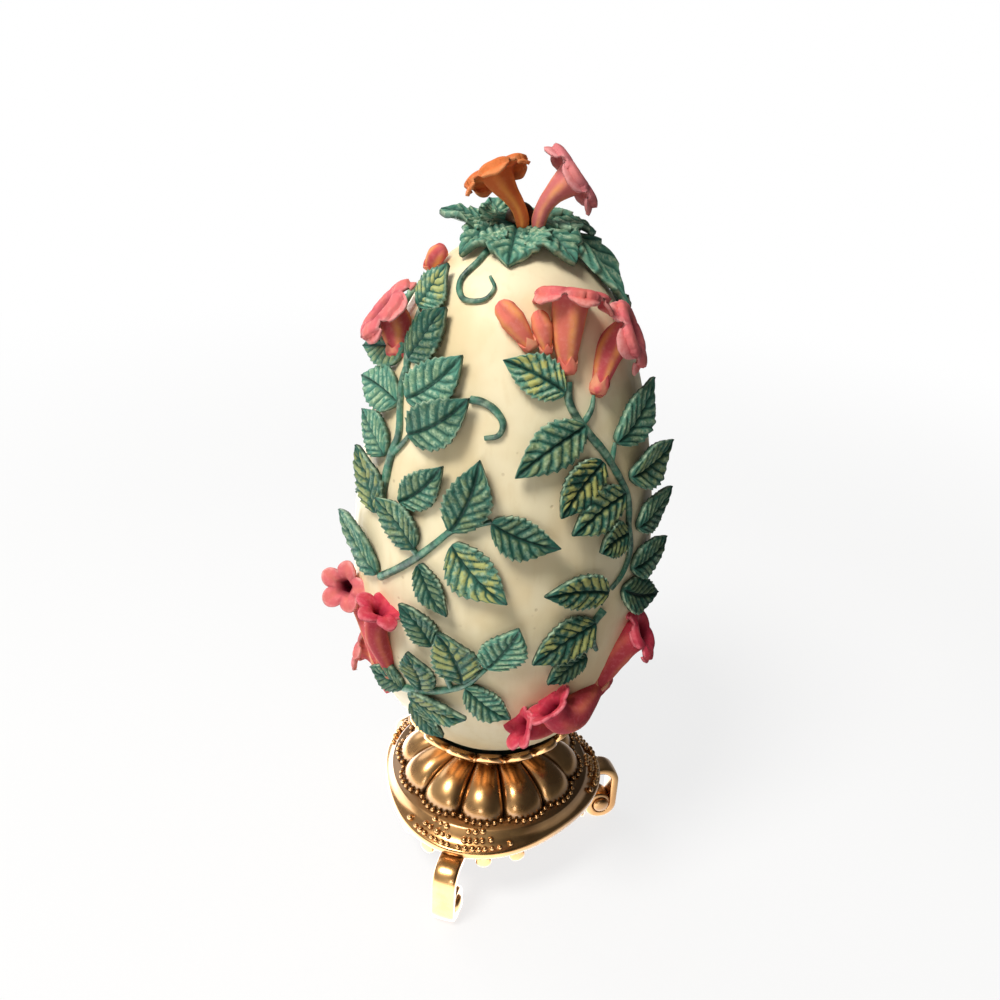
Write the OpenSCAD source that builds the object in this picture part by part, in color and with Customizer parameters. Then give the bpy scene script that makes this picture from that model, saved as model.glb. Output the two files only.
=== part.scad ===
// Decorative egg on a footed petal cup, in millimetres.
// Z = 0 is the surface that the three feet stand on, and Z is the axis of egg and stand.
// Azimuths are degrees from the front (-Y) towards +X. Heights on the egg are percent of its height.

/* [Egg] */
// Widest diameter of the bare egg
egg_width = 58; // [52:1:62]
// Height of the bare egg
egg_height = 109; // [100:1:118]
// How much narrower the egg is above its middle than below
egg_taper = 0.15; // [0.1:0.01:0.18]
// How full the egg is towards both ends
egg_fullness = 0.12; // [0.08:0.01:0.14]
// How much fuller the shoulder is than the foot of the egg
egg_shoulder = 0.1; // [0.06:0.01:0.12]
// Wall of the hollow-cast egg
shell_wall = 4; // [3:0.5:6]
// Diameter of the pour hole in the bottom of the egg
pour_bore = 10; // [8:0.5:12]
// Diameter of the hole for the crown cap's shank
shank_bore = 3.2; // [2.6:0.1:3.6]

/* [Vine relief] */
// Gap of glue between the relief and the egg
relief_gap = 0.15; // [0.1:0.01:0.25]
// Thickness of a leaf at its midrib
leaf_thick = 1.3; // [0.9:0.1:1.8]
// How far a leaf's tip lifts off the egg
leaf_lift = 1.7; // [0.6:0.1:2.2]
// Half width of a main stem
stem_half = 0.9; // [0.6:0.1:1.2]
// Height of a main stem
stem_high = 1.3; // [0.9:0.1:1.7]
// Half width of a tendril
tendril_half = 0.6; // [0.4:0.1:0.8]
// Height of a tendril
tendril_high = 1; // [0.7:0.1:1.3]
// Thickness of a petal
petal_thick = 1.1; // [0.8:0.1:1.5]

/* [Crown] */
// Diameter of the collar that carries the crown leaves
collar_width = 11; // [10:0.5:13]
// Thickness of the collar
collar_thick = 1.4; // [1:0.1:2]
// Diameter of the dark cap
cap_width = 5.4; // [4.4:0.2:6]
// Height of the dark cap above the collar
cap_high = 3.6; // [2.6:0.2:4.4]
// Thickness of a crown leaf
crown_leaf_thick = 1.3; // [1:0.1:1.8]
// Length of the free-standing trumpets
trumpet_long = 10.5; // [9:0.5:14]
// Radius of a trumpet's stalk
trumpet_stalk = 1.2; // [0.9:0.1:1.3]
// Radius of a trumpet's mouth, without its petals
trumpet_mouth = 3.6; // [2.8:0.1:4.2]

/* [Cup] */
// Diameter over the tips of the cup's petals
cup_width = 36; // [34:1:42]
// Number of petals round the cup
petal_count = 16; // [12:1:20]
// Depth of the notch between two petals
petal_notch = 2.6; // [1.5:0.1:3.2]
// Wall of the cup
cup_wall = 1.5; // [1.2:0.1:2]
// Diameter of the spigot under the cup
spigot_width = 12; // [10:0.5:13]
// Diameter of the tie screw's shank
tie_screw_width = 4; // [3:0.5:5]
// Thickness of the felt ring that the egg sits on
felt_thick = 1; // [0.6:0.1:1.4]
// Radius where the felt ring starts
felt_from = 8.5; // [7:0.5:9.5]
// Radius where the felt ring ends
felt_to = 13; // [12:0.5:14]

/* [Dome and skirt] */
// Number of lobes round the dome
lobe_count = 12; // [10:1:16]
// Diameter over the ends of the lobes
dome_width = 40; // [38:0.5:42]
// Height of the dome above the skirt
dome_high = 7.5; // [6:0.5:9]
// How far the valleys between lobes stop short of the lobe ends
lobe_scallop = 2.6; // [1.5:0.1:3.5]
// Wall of the dome
dome_wall = 1.6; // [1.2:0.1:2]
// Mean radius of the skirt's rim
skirt_radius = 24.2; // [23.5:0.1:27]
// How far the rim swells out at each foot and in between feet
skirt_swell = 1.4; // [0:0.1:2]
// Height of the skirt from its underside to the dome's seat
skirt_high = 4.9; // [3.5:0.1:6]
// Thickness of the skirt
skirt_thick = 1.5; // [1.2:0.1:2]
// Diameter of a bead
bead_width = 1; // [0.8:0.05:1.2]
// Radius of the round end of a drop tab
tab_round = 1.7; // [1.3:0.1:2]
// How far the drop tabs hang below the skirt
tab_drop = 3.6; // [2.5:0.1:4.5]

/* [Feet] */
// Height of the skirt's underside above the surface
foot_high = 14.8; // [13:0.1:16]
// Radius that the outside of a foot reaches
foot_reach = 31; // [30:0.5:34]
// Width of a foot's band
foot_width = 5; // [4:0.5:6]
// Thickness of a foot's band
foot_band = 1.8; // [1.4:0.1:2.2]
// Radius of the eye that ends the scroll
eye_radius = 2.2; // [2.1:0.1:2.8]
// Diameter of a foot screw's shank
foot_screw_width = 1.6; // [1.2:0.1:2]

/* [Hidden] */

// Running clearance of a piece that is screwed or plugged in
fit = 0.05;
// Gap under the egg at rest, so that it lifts out freely
rest_gap = 0.3;
// Azimuths of the feet: front, right, rear
foot_front_az = -15;
feet_apart = 120;

// Heights of the stack, from the surface up
skirt_z = foot_high;
dome_z = skirt_z + skirt_high;
cup_z = dome_z + dome_high;
cup_floor = 0.9;
egg_z = cup_z + cup_floor + felt_thick + rest_gap;
egg_top = egg_z + egg_height;
collar_z = egg_top + relief_gap;
crown_z = collar_z + collar_thick;

shell_green = [0.24, 0.5, 0.44];
deep_green = [0.12, 0.36, 0.3];
coral = [0.86, 0.42, 0.36];
rose = [0.82, 0.42, 0.48];
crimson = [0.75, 0.25, 0.32];
orange = [0.85, 0.45, 0.2];
cream = [0.97, 0.93, 0.8];
gold = [0.72, 0.54, 0.27];
bronze = [0.3, 0.2, 0.12];

// What makes an egg of an ellipsoid: a factor on its radius, from bottom (-1) to top (1)
function egg_form(t) = 1 - egg_taper * t + egg_fullness * t * t + egg_shoulder * t * t * t;

// The egg's outline: radius at a height in percent
function egg_radius(up) =
    let (t = min(1, max(-1, up / 50 - 1)))
    egg_width / 2 * sqrt(1 - t * t) * egg_form(t);

// Millimetres of height per percent
rise = egg_height / 100;

// Change of the radius per millimetre of height
function egg_slope(up) = (egg_radius(up + 0.05) - egg_radius(up - 0.05)) / (0.1 * rise);

// A point of the egg's surface, moved out along the normal
function on_egg(az, up, out) =
    let (
        slope = egg_slope(up),
        norm_len = sqrt(1 + slope * slope),
        r = egg_radius(up) + out / norm_len
    )
    [r * sin(az), -r * cos(az), egg_z + up * rise - out * slope / norm_len];

// Millimetres along the surface per degree and per percent
function mm_per_degree(up) = egg_radius(up) * PI / 180;
function mm_per_percent(up) = let (slope = egg_slope(up)) rise * sqrt(1 + slope * slope);

// Unit step across a line from one chart point to another, in degrees and percent per mm
function across(from, to) =
    let (
        mid_up = (from[1] + to[1]) / 2,
        kd = mm_per_degree(mid_up),
        kp = mm_per_percent(mid_up),
        east = (to[0] - from[0]) * kd,
        north = (to[1] - from[1]) * kp,
        run = sqrt(east * east + north * north)
    )
    [north / run / kd, -east / run / kp];

// Length along the surface of a line from one chart point to another
function chart_length(from, to) =
    let (mid_up = (from[1] + to[1]) / 2)
    norm([(to[0] - from[0]) * mm_per_degree(mid_up), (to[1] - from[1]) * mm_per_percent(mid_up)]);

// Faces of a body made of a first point, rings of equal size, and a last point
function skin_faces(rings, size) =
    let (last = rings * size + 1)
    concat(
        [for (k = [0:size - 1]) [0, 1 + k, 1 + (k + 1) % size]],
        [for (i = [0:rings - 2], k = [0:size - 1], half = [0:1])
            let (
                here = 1 + i * size + k,
                side = 1 + i * size + (k + 1) % size
            )
            half == 0 ? [here, here + size, side + size] : [here, side + size, side]],
        [for (k = [0:size - 1])
            [1 + (rings - 1) * size + k, last, 1 + (rings - 1) * size + (k + 1) % size]]
    );

// Faces of a ring-shaped body whose rings of equal size close on themselves
function loop_faces(rings, around) =
    [for (j = [0:rings - 1], k = [0:around - 1], half = [0:1])
        let (
            a = j * around + k,
            b = j * around + (k + 1) % around,
            c = ((j + 1) % rings) * around + (k + 1) % around,
            d = ((j + 1) % rings) * around + k
        )
        half == 0 ? [a, c, d] : [a, b, c]];

module skin(rings, first, last) {
    points = concat([first], [for (ring = rings) for (p = ring) p], [last]);
    polyhedron(points = points, faces = skin_faces(len(rings), len(rings[0])));
}

// Outline of a leaf or petal: share of the half width at a share of the length
function blade_outline(s, belly) = pow(sin(180 * pow(s, belly)), 0.75);

// Widths, lengths and lifts in the rows of the relief are given for an egg of this width
rows_egg_width = 58;
relief_scale = egg_width / rows_egg_width;

// Sections of a petal and of a leaf: share of the half width, share of the thickness.
// A leaf has a sunk midrib between two cushions.
petal_section = [[-1, 0.35], [0, 1], [1, 0.35], [0, 0]];
leaf_section = [[-1, 0.8], [-0.55, 1.2], [0, 0.75], [0.55, 1.2], [1, 0.8], [0, 0]];

// A leaf or petal that lies on the egg from one chart point to another
module blade(from, to, width, thick, lift, section, belly = 0.8, steps = 6) {
    step = across(from, to);
    skin(
        [for (i = [1:steps - 1])
            let (
                s = i / steps,
                half = width / 2 * blade_outline(s, belly),
                az = from[0] + (to[0] - from[0]) * s,
                up = from[1] + (to[1] - from[1]) * s,
                low = relief_gap + lift * s * s
            )
            [for (p = section)
                on_egg(az + step[0] * half * p[0], up + step[1] * half * p[0],
                    low + thick * p[1])]],
        on_egg(from[0], from[1], relief_gap + 0.3),
        on_egg(to[0], to[1], relief_gap + lift + 0.3)
    );
}

module leaf(row) {
    lift = len(row) > 5 ? row[5] * relief_scale : leaf_lift;
    blade([row[0], row[1]], [row[2], row[3]], row[4] * relief_scale, leaf_thick, lift, leaf_section);
}

// Chart rows with more rows put in between, so that no step is longer than a few mm
function fine(rows, most = 2.5) =
    concat(
        [for (i = [0:len(rows) - 2])
            let (count = max(1, ceil(chart_length(rows[i], rows[i + 1]) / most)))
            for (k = [0:count - 1]) rows[i] + (rows[i + 1] - rows[i]) * k / count],
        [rows[len(rows) - 1]]
    );

// A raised ridge along chart points: each row is azimuth, percent, half width, height
module ridge(coarse_rows, base = relief_gap) {
    rows = fine(coarse_rows);
    count = len(rows);
    skin(
        [for (i = [0:count - 1])
            let (
                before = rows[max(0, i - 1)],
                after = rows[min(count - 1, i + 1)],
                step = across([before[0], before[1]], [after[0], after[1]]),
                row = rows[i],
                w = row[2],
                h = row[3]
            )
            [for (p = [[-1, 0], [-0.7, 0.7], [0, 1], [0.7, 0.7], [1, 0], [0, 0]])
                on_egg(row[0] + step[0] * w * p[0], row[1] + step[1] * w * p[0],
                    base + h * p[1])]],
        on_egg(rows[0][0], rows[0][1], base + rows[0][3] * 0.4),
        on_egg(rows[count - 1][0], rows[count - 1][1], base + rows[count - 1][3] * 0.4)
    );
}

module stem(points, half = stem_half, high = stem_high) {
    ridge([for (p = points) [p[0], p[1], half, high]]);
}

// The point of a line from a to b that lies nearest to a chart point, and its distance in mm
function nearest_on(a, b, p) =
    let (
        kd = mm_per_degree(p[1]),
        kp = mm_per_percent(p[1]),
        line = [(b[0] - a[0]) * kd, (b[1] - a[1]) * kp],
        away = [(p[0] - a[0]) * kd, (p[1] - a[1]) * kp],
        share = min(0.95, max(0.05, (line * away) / (line * line)))
    )
    [norm(away - line * share), a[0] + (b[0] - a[0]) * share, a[1] + (b[1] - a[1]) * share];

// The nearest of several points, each given as distance, azimuth, percent
function nearest_of(spots, i = 0, best = [1000, 0, 0]) =
    i == len(spots) ? best : nearest_of(spots, i + 1, spots[i][0] < best[0] ? spots[i] : best);

// A leaf with the short stalk that joins it to the nearest stem
module stalked_leaf(row, stems) {
    base = [row[0] + (row[2] - row[0]) * 0.12, row[1] + (row[3] - row[1]) * 0.12];
    spot = nearest_of([for (path = stems, i = [0:len(path) - 2]) nearest_on(path[i], path[i + 1], base)]);
    leaf(row);
    stem([[spot[1], spot[2]], base], stem_half * 0.6, stem_high * 0.65);
}

// A spray is its main stem, its side stems, and the leaves with their stalks
module spray(path, leaves, side_stems = []) {
    stem(path);
    for (side_stem = side_stems) stem(side_stem, stem_half * 0.7, stem_high * 0.8);
    for (row = leaves) stalked_leaf(row, concat([path], side_stems));
}

// A row of the outline of a tube or bud: share of length, of half width and of height
function along(from, to, width, row, grow = 0) =
    [
        from[0] + (to[0] - from[0]) * row[0],
        from[1] + (to[1] - from[1]) * row[0],
        width / 2 * row[1] + grow,
        width * 0.62 * row[2] + grow
    ];

tube_rows = [[0, 0.3, 0.35], [0.25, 0.62, 0.6], [0.6, 1, 0.85], [0.9, 0.9, 0.95], [1.05, 1.05, 1]];
bud_rows = [[0, 0.35, 0.4], [0.3, 0.7, 0.7], [0.7, 1, 1], [0.92, 0.75, 0.85], [1, 0.35, 0.45]];

module tube(spot) {
    ridge([for (row = tube_rows) along(spot[0], spot[1], spot[2] * relief_scale, row)]);
}

module bud(spot) {
    ridge([for (row = bud_rows) along(spot[0], spot[1], spot[2] * relief_scale, row)]);
}

// The room that a tube or bud takes out of a neighbour tucked in under it
module room_for(spot, rows) {
    ridge([for (row = rows) along(spot[0], spot[1], spot[2], row, tuck_gap)], relief_gap - tuck_gap);
}

// A trumpet flower on the egg: a swelling tube and a fan of petals at its mouth
module trumpet(spot, petal_long, fan = [-95, -48, 0, 48, 95], petal_lift = 3.2) {
    from = spot[0];
    to = spot[1];
    kd = mm_per_degree(to[1]);
    kp = mm_per_percent(to[1]);
    heading = atan2((to[0] - from[0]) * kd, (to[1] - from[1]) * kp);
    reach = petal_long * relief_scale;
    tube(spot);
    for (turn = fan) {
        east = reach * sin(heading + turn);
        north = reach * cos(heading + turn);
        blade(
            [to[0] + east * 0.05 / kd, to[1] + north * 0.05 / kp],
            [to[0] + east / kd, to[1] + north / kp],
            reach * 0.95, petal_thick, petal_lift * relief_scale, petal_section, 0.6, 4
        );
    }
}

// Vines on the front, as azimuth and percent along the stem, and as
// azimuth and percent of the base, azimuth and percent of the tip, and width for the leaves.
// A sixth value is a leaf's own lift, where it stands out at the side of the egg
left_path = [[-50, 56.5], [-50, 62], [-49, 67], [-47, 71], [-50, 75], [-53, 79], [-52, 83.5]];
left_leaves = [
    [-62, 89, -52, 95, 7.5], [-51, 82, -36, 90, 8], [-59, 83, -84, 79, 7, 3.6],
    [-51, 75.5, -80, 75, 7.5], [-46, 76.5, -21, 85, 7.5], [-52, 66.5, -71, 71, 7.5],
    [-41, 71.5, -15, 79.5, 7.5], [-51, 56.5, -67, 65.5, 8]
];
left_side_stems = [[[-49, 67], [-44, 69.5], [-41, 71.5]], [[-52, 83.5], [-58, 86.5], [-62, 89]]];

centre_path = [[-47, 45.5], [-38, 49], [-30, 52.5], [-23, 56], [-18, 58.5], [-13, 59.5], [-4, 61]];
centre_leaves = [
    [-31, 54, -49, 60, 8], [-40, 60.5, -22, 69, 6], [-18, 58.5, -9, 71, 7.5],
    [-4, 61, 19, 57.5, 7], [-17, 56.5, 3, 48, 8.5], [-29, 51.5, -16, 44.5, 5.5],
    [-48, 46, -78, 51, 8]
];
centre_side_stems = [[[-30, 52.5], [-37, 56], [-40, 60.5]]];

right_path = [
    [25, 82], [25, 79], [30, 75.5], [39, 71], [43, 68.5], [48, 65], [52, 61], [52, 56.5],
    [53, 52], [49, 48.5], [43, 46.5]
];
right_leaves = [
    [23, 80.5, -4, 85, 6.5], [31, 75.5, 3, 68.5, 7.5], [46, 71.5, 74, 78.5, 8],
    [53, 65, 82, 66.5, 7, 3.6], [38, 69.5, 19, 62, 7.5], [49, 63, 23, 59, 7.5],
    [50, 56, 34, 55, 6.5], [57, 55.5, 80, 58.5, 7, 3], [54, 48.5, 78, 49.5, 7],
    [49, 45.5, 72, 40, 6.5], [41, 46.5, 14, 49.5, 6.5]
];
right_side_stems = [[[30, 75.5], [35, 77.5], [37, 79]], [[43, 68.5], [46, 71.5]]];

low_left_path = [[-39, 23.5], [-25, 26], [-11, 29.5], [-3, 34]];
low_left_leaves = [
    [-22, 37, -34, 44, 6.5], [-28, 26, -31, 35, 7], [-11, 30.5, -19, 41.5, 8],
    [-3, 34.5, 7, 44, 7.5], [-38, 24, -53, 26, 6.5], [-36, 23, -9, 23.5, 6.5],
    [-36, 21, -20, 16.5, 6], [-10, 29.5, 7, 24.5, 6.5]
];

low_right_path = [[40, 43], [36, 41], [36, 38], [39, 35]];
low_right_leaves = [[36, 41.5, 12, 36.5, 8], [34, 35, 18, 32, 6]];

upper_tendril_path = [
    [-33, 97], [-36, 96], [-40, 94.5], [-38, 92.5], [-31, 91.6], [-21, 92], [-17, 92.8],
    [-16, 94], [-20, 95], [-25, 95]
];
middle_tendril_path = [
    [-11, 78.7], [-7, 79], [-4, 78.5], [-1, 77], [-1, 75], [-5, 74], [-10, 73.7]
];

// The tube of the upper trumpet and the bud tucked in under it: from, to, width
upper_tube = [[25, 83.5], [30, 92], 6.8];
short_bud_spot = [[15.5, 86], [11, 91], 3.4];
tuck_gap = 0.12;

// Vines on the back, which the front view hides: pairs of leaves climb along each stem
back_left_path = [[232, 46], [226, 54], [218, 61], [214, 69], [220, 77], [228, 83]];
back_right_path = [[118, 44], [126, 52], [136, 59], [142, 67], [138, 75], [130, 82]];
back_low_path = [[108, 33], [124, 30], [142, 28.5], [160, 29.5], [178, 32], [196, 30.5], [214, 29]];

function paired_leaves(path, first, last) =
    [for (i = [first:last], side = [-1, 1])
        [
            path[i][0] + side, path[i][1],
            path[i][0] + side * (side < 0 ? 25 : 22), path[i][1] + (side < 0 ? 6 : 1), 7.5
        ]];

function row_leaves(path, first, last) =
    [for (i = [first:last])
        let (side = i % 2 == 0 ? 1 : -1)
        [path[i][0], path[i][1] + side * 0.4, path[i][0] + 6, path[i][1] + side * 9, 7.5]];

// A tendril is a thin stem that curls round on itself
module tendril(points) {
    stem(points, tendril_half, tendril_high);
}

module left_spray() {
    color(shell_green) spray(left_path, left_leaves, left_side_stems);
}

module centre_spray() {
    color(shell_green) spray(centre_path, centre_leaves, centre_side_stems);
}

module right_spray() {
    color(shell_green) spray(right_path, right_leaves, right_side_stems);
}

module low_left_spray() {
    color(shell_green) spray(low_left_path, low_left_leaves);
}

module low_right_spray() {
    color(deep_green) spray(low_right_path, low_right_leaves);
}

module back_left_spray() {
    color(shell_green) spray(back_left_path, paired_leaves(back_left_path, 0, 5));
}

module back_right_spray() {
    color(shell_green) spray(back_right_path, paired_leaves(back_right_path, 0, 5));
}

module back_low_spray() {
    color(shell_green) spray(back_low_path, row_leaves(back_low_path, 0, 6));
}

module upper_tendril() {
    color(shell_green) tendril(upper_tendril_path);
}

module middle_tendril() {
    color(deep_green) tendril(middle_tendril_path);
}

module back_tendril() {
    color(deep_green) tendril([[178, 70], [184, 72], [190, 70.5], [189, 67.5], [183, 66]]);
}

module left_trumpet() {
    color(rose) trumpet([[-65, 86], [-83, 86], 5], 5.5, petal_lift = 4.2);
}

module upper_trumpet() {
    color(coral) trumpet(upper_tube, 6.8, [-85, -42, 0, 42, 85]);
}

module right_trumpet() {
    color(coral) trumpet([[38, 80.5], [56, 87], 6], 5.5);
}

module long_bud() {
    color(coral)
        difference() {
            bud([[9, 87], [-9, 92], 4.2]);
            room_for(short_bud_spot, bud_rows);
        }
}

module short_bud() {
    color(coral)
        difference() {
            bud(short_bud_spot);
            room_for(upper_tube, tube_rows);
        }
}

module crimson_trumpet() {
    color(coral) trumpet([[-58, 28], [-70, 37], 6.5], 6, petal_lift = 3.7);
}

module small_trumpet() {
    color(crimson) trumpet([[-45, 30.5], [-46, 39], 4], 3.8);
}

module rear_trumpet() {
    color(rose) trumpet([[-66, 17.5], [-78, 24], 4.5], 4.5);
}

module low_right_trumpet() {
    color(crimson) trumpet([[40, 30], [58, 34.5], 5], 4.5);
}

module low_open_trumpet() {
    color(crimson) trumpet([[43, 25], [24, 26.5], 5], 4.5);
}

module back_high_trumpet() {
    color(coral) trumpet([[176, 80], [176, 89], 6.5], 6.5);
}

module back_mid_trumpet() {
    color(rose) trumpet([[180, 48], [180, 57], 6], 6);
}

module back_low_trumpet() {
    color(crimson) trumpet([[248, 27], [236, 20], 5], 4.5);
}

module back_bud() {
    color(coral) bud([[186, 80], [198, 88], 4.4]);
}

// The cast egg: hollow, with a pour hole below and the cap's hole above
module egg_shell() {
    inner = 1 - shell_wall / (egg_width / 2);
    color(cream)
    difference() {
        rotate_extrude($fn = 96)
            polygon([for (i = [0:48])
                let (up = 50 - 50 * cos(i * 180 / 48))
                [i == 0 || i == 48 ? 0 : egg_radius(up), egg_z + up * rise]]);
        rotate_extrude($fn = 96)
            polygon([for (i = [0:32])
                let (up = 50 - 50 * cos(i * 180 / 32))
                [
                    i == 0 || i == 32 ? 0 : egg_radius(up) * inner,
                    egg_z + egg_height / 2 + (up - 50) * (egg_height - 2 * shell_wall) / 100
                ]]);
        translate([0, 0, egg_z - 1])
            cylinder(d = pour_bore, h = shell_wall + 2, $fn = 64);
        translate([0, 0, egg_top - shell_wall - 1])
            cylinder(d = shank_bore, h = shell_wall + 2, $fn = 48);
    }
}

// The plug that closes the pour hole, a little inside the egg's skin
module base_plug() {
    plug_z = egg_z + 0.8;
    color(bronze)
        translate([0, 0, plug_z])
            cylinder(d = pour_bore - 2 * fit, h = shell_wall, $fn = 64);
}

module crown_cap() {
    seat = crown_z + fit;
    color(bronze) {
        translate([0, 0, seat])
            rotate_extrude($fn = 48)
                polygon(concat(
                    [[0, 0]],
                    [for (a = [0:10:90]) [cap_width / 2 * cos(a), 0.5 + (cap_high - 0.5) * sin(a)]]
                ));
        translate([0, 0, egg_top - shell_wall])
            cylinder(d = shank_bore - 2 * fit, h = seat - egg_top + shell_wall + 0.2, $fn = 48);
    }
}

// Crown leaves: azimuth, tip radius, tip height above the egg's top, sag of the middle, width
crown_leaves = [
    [-96, 14.5, 2.6, -0.6, 8.5], [-138, 9.5, 4, -0.5, 8], [-8, 11, -3, 1.2, 10.5],
    [46, 13, -2.6, 1.4, 10], [104, 13.5, -0.4, 1.2, 9.5], [-56, 11.5, -3, 1.2, 8.5],
    [85, 20.5, -13.5, 3.4, 9], [152, 12, -1.5, 1.2, 10], [188, 12.5, -2.5, 1.2, 10]
];

module crown_leaf(row) {
    root_r = collar_width / 2 - 2.4;
    root_z = crown_z - collar_thick / 2;
    tip_r = row[1] * relief_scale;
    tip_z = egg_top + row[2] * relief_scale;
    steps = 6;
    rotate([0, 0, row[0]])
        skin(
            [for (i = [1:steps - 1])
                let (
                    s = i / steps,
                    half = row[4] * relief_scale / 2 * blade_outline(s, 0.8),
                    r = root_r + (tip_r - root_r) * s,
                    z = root_z + (tip_z - root_z) * s + row[3] * relief_scale * sin(180 * s),
                    low = z - crown_leaf_thick / 2
                )
                [for (p = leaf_section) [-half * p[0], -r, low + crown_leaf_thick * p[1]]]],
            [0, -root_r, root_z],
            [0, -tip_r, tip_z]
        );
}

module crown_rosette() {
    color(shell_green)
    difference() {
        union() {
            translate([0, 0, collar_z]) cylinder(d = collar_width, h = collar_thick, $fn = 64);
            for (row = crown_leaves) crown_leaf(row);
        }
        translate([0, 0, collar_z - 1])
            cylinder(d = shank_bore, h = collar_thick + 2, $fn = 48);
    }
}

// A free-standing trumpet: a flaring tube with five oval petals turned back at its mouth
module standing_trumpet(x, y, lean, petal_long, droop) {
    petals = 5;
    petal_in = trumpet_mouth * 0.2;
    petal_half = trumpet_mouth * sin(180 / petals) * 0.94;
    translate([x, y, crown_z + trumpet_stalk * sin(abs(lean)) + fit])
        rotate([0, lean, 0]) {
            difference() {
                rotate_extrude($fn = 48)
                    polygon([
                        [0, 0], [trumpet_stalk, 0], [trumpet_stalk, trumpet_long * 0.3],
                        [trumpet_stalk + 0.5, trumpet_long * 0.6],
                        [trumpet_mouth * 0.62, trumpet_long * 0.8], [trumpet_mouth, trumpet_long],
                        [0, trumpet_long]
                    ]);
                translate([0, 0, trumpet_long * 0.78])
                    rotate_extrude($fn = 48)
                        polygon([
                            [0, 0], [trumpet_mouth * 0.8, trumpet_long * 0.24], [0, trumpet_long * 0.24]
                        ]);
            }
            for (k = [0:petals - 1])
                rotate([0, 0, k * 360 / petals])
                    translate([trumpet_mouth, 0, trumpet_long - petal_thick * 0.9])
                        rotate([0, droop, 0])
                            linear_extrude(petal_thick)
                                polygon([for (a = [0:15:345])
                                    [
                                        (petal_long - petal_in) / 2 + (petal_long + petal_in) / 2 * cos(a),
                                        petal_half * sin(a)
                                    ]]);
        }
}

module orange_trumpet() {
    color(orange) standing_trumpet(0.1, -4.2, -24, 3, 25);
}

module pink_trumpet() {
    color(rose) standing_trumpet(3.3, -4.2, 28, 3.6, 25);
}

// The dish under the egg, as points from the middle out, let down from the egg by a depth
function dish(depth, from, to) =
    [for (i = [0:8])
        let (r = from + (to - from) * i / 8)
        [r, egg_z + dish_height(r) - depth]];

// Height of the egg's skin above its lowest point, at a radius near the bottom
function dish_height(r, t = -1, rounds = 6) =
    let (half = egg_width / 2 * egg_form(t))
    rounds == 0 ? egg_height * (1 + t) / 2
        : dish_height(r, -sqrt(max(0, 1 - pow(r / half, 2))), rounds - 1);

module petal_cup() {
    lip_r = cup_width / 2;
    inner_depth = felt_thick + rest_gap + fit;
    // the inside dips with the egg to the end of the felt, then flares to the lip
    inside = dish(inner_depth, 0, felt_to);
    lip_z = inside[8][1] + (lip_r - felt_to) * 0.75;
    petal_waist = lip_r - petal_notch;
    color(gold) {
        intersection() {
            rotate_extrude($fn = 90)
                polygon(concat(
                    inside,
                    [
                        [lip_r + 0.4, lip_z], [lip_r + 0.4, lip_z - cup_wall * 0.9],
                        [felt_to + 0.8, inside[8][1] - cup_wall * 1.1],
                        [felt_from + 1.2, inside[5][1] - cup_wall * 1.25],
                        [spigot_width / 2 + 1.3, cup_z + fit], [0, cup_z + fit]
                    ]
                ));
            translate([0, 0, cup_z - 1])
                linear_extrude(lip_z - cup_z + 2)
                    polygon([for (a = [0:360 / (petal_count * 8):359.9])
                        let (r = petal_waist + petal_notch * sqrt(abs(cos(a * petal_count / 2))))
                        [r * sin(a), -r * cos(a)]]);
        }
        difference() {
            translate([0, 0, spigot_z])
                cylinder(d = spigot_width, h = cup_z - spigot_z + 0.5, $fn = 64);
            translate([0, 0, spigot_z - 1])
                cylinder(d = tie_screw_width, h = cup_z - spigot_z + 1, $fn = 48);
        }
    }
}

module felt_ring() {
    top = dish(rest_gap, felt_from, felt_to);
    low = dish(rest_gap + felt_thick, felt_from, felt_to);
    color([0.2, 0.3, 0.24])
        rotate_extrude($fn = 96)
            polygon(concat(top, [for (i = [8:-1:0]) low[i]]));
}

// The washer presses the dome up against the cup, and the screw holds all three
washer_thick = 1.4;
washer_width = spigot_width + 6;
washer_z = cup_z - dome_wall * 1.6 - fit - washer_thick;
spigot_z = washer_z + 0.1;

module clamp_washer() {
    color(gold)
        translate([0, 0, washer_z])
            difference() {
                cylinder(d = washer_width, h = washer_thick, $fn = 64);
                translate([0, 0, -1])
                    cylinder(d = spigot_width + 2 * fit, h = washer_thick + 2, $fn = 64);
            }
}

module tie_screw() {
    head_high = 1.8;
    head_z = washer_z - fit - head_high;
    slot_wide = 1.2;
    color(gold)
        difference() {
            union() {
                translate([0, 0, head_z])
                    cylinder(d = spigot_width + 2.5, h = head_high, $fn = 64);
                translate([0, 0, head_z + 0.5])
                    cylinder(d = tie_screw_width - 2 * fit, h = cup_z - 0.8 - head_z, $fn = 48);
            }
            translate([-spigot_width, -slot_wide / 2, head_z - 1])
                cube([spigot_width * 2, slot_wide, 1.8]);
        }
}

// The lobed dome: each lobe is a round ridge that swells to a full end
// Azimuth of one lobe's crest, and rows of points across a lobe and down it
lobe_turn = -3;
lobe_steps = 8;
dome_rings = 9;
dome_top_r = spigot_width / 2 + 0.9;
dome_end_r = dome_width / 2;

// Share of the way from a valley (0) to a crest (1), by azimuth
function lobe_crest(az) =
    let (x = abs(((az - lobe_turn) * lobe_count / 360 + 1000) % 1 - 0.5) * 2)
    sqrt(max(0, 1 - pow(1 - x, 2)));
function dome_point(az, s) =
    let (
        crest = lobe_crest(az),
        end = dome_end_r - lobe_scallop * (1 - crest),
        r = dome_top_r + (end - dome_top_r) * s,
        full = dome_high * pow(max(0, 1 - pow(s, 2.2)), 0.62),
        z = dome_z + fit + full * (1 - (0.1 + 0.3 * s) * (1 - crest))
    )
    [r * sin(az), -r * cos(az), z];

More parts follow.
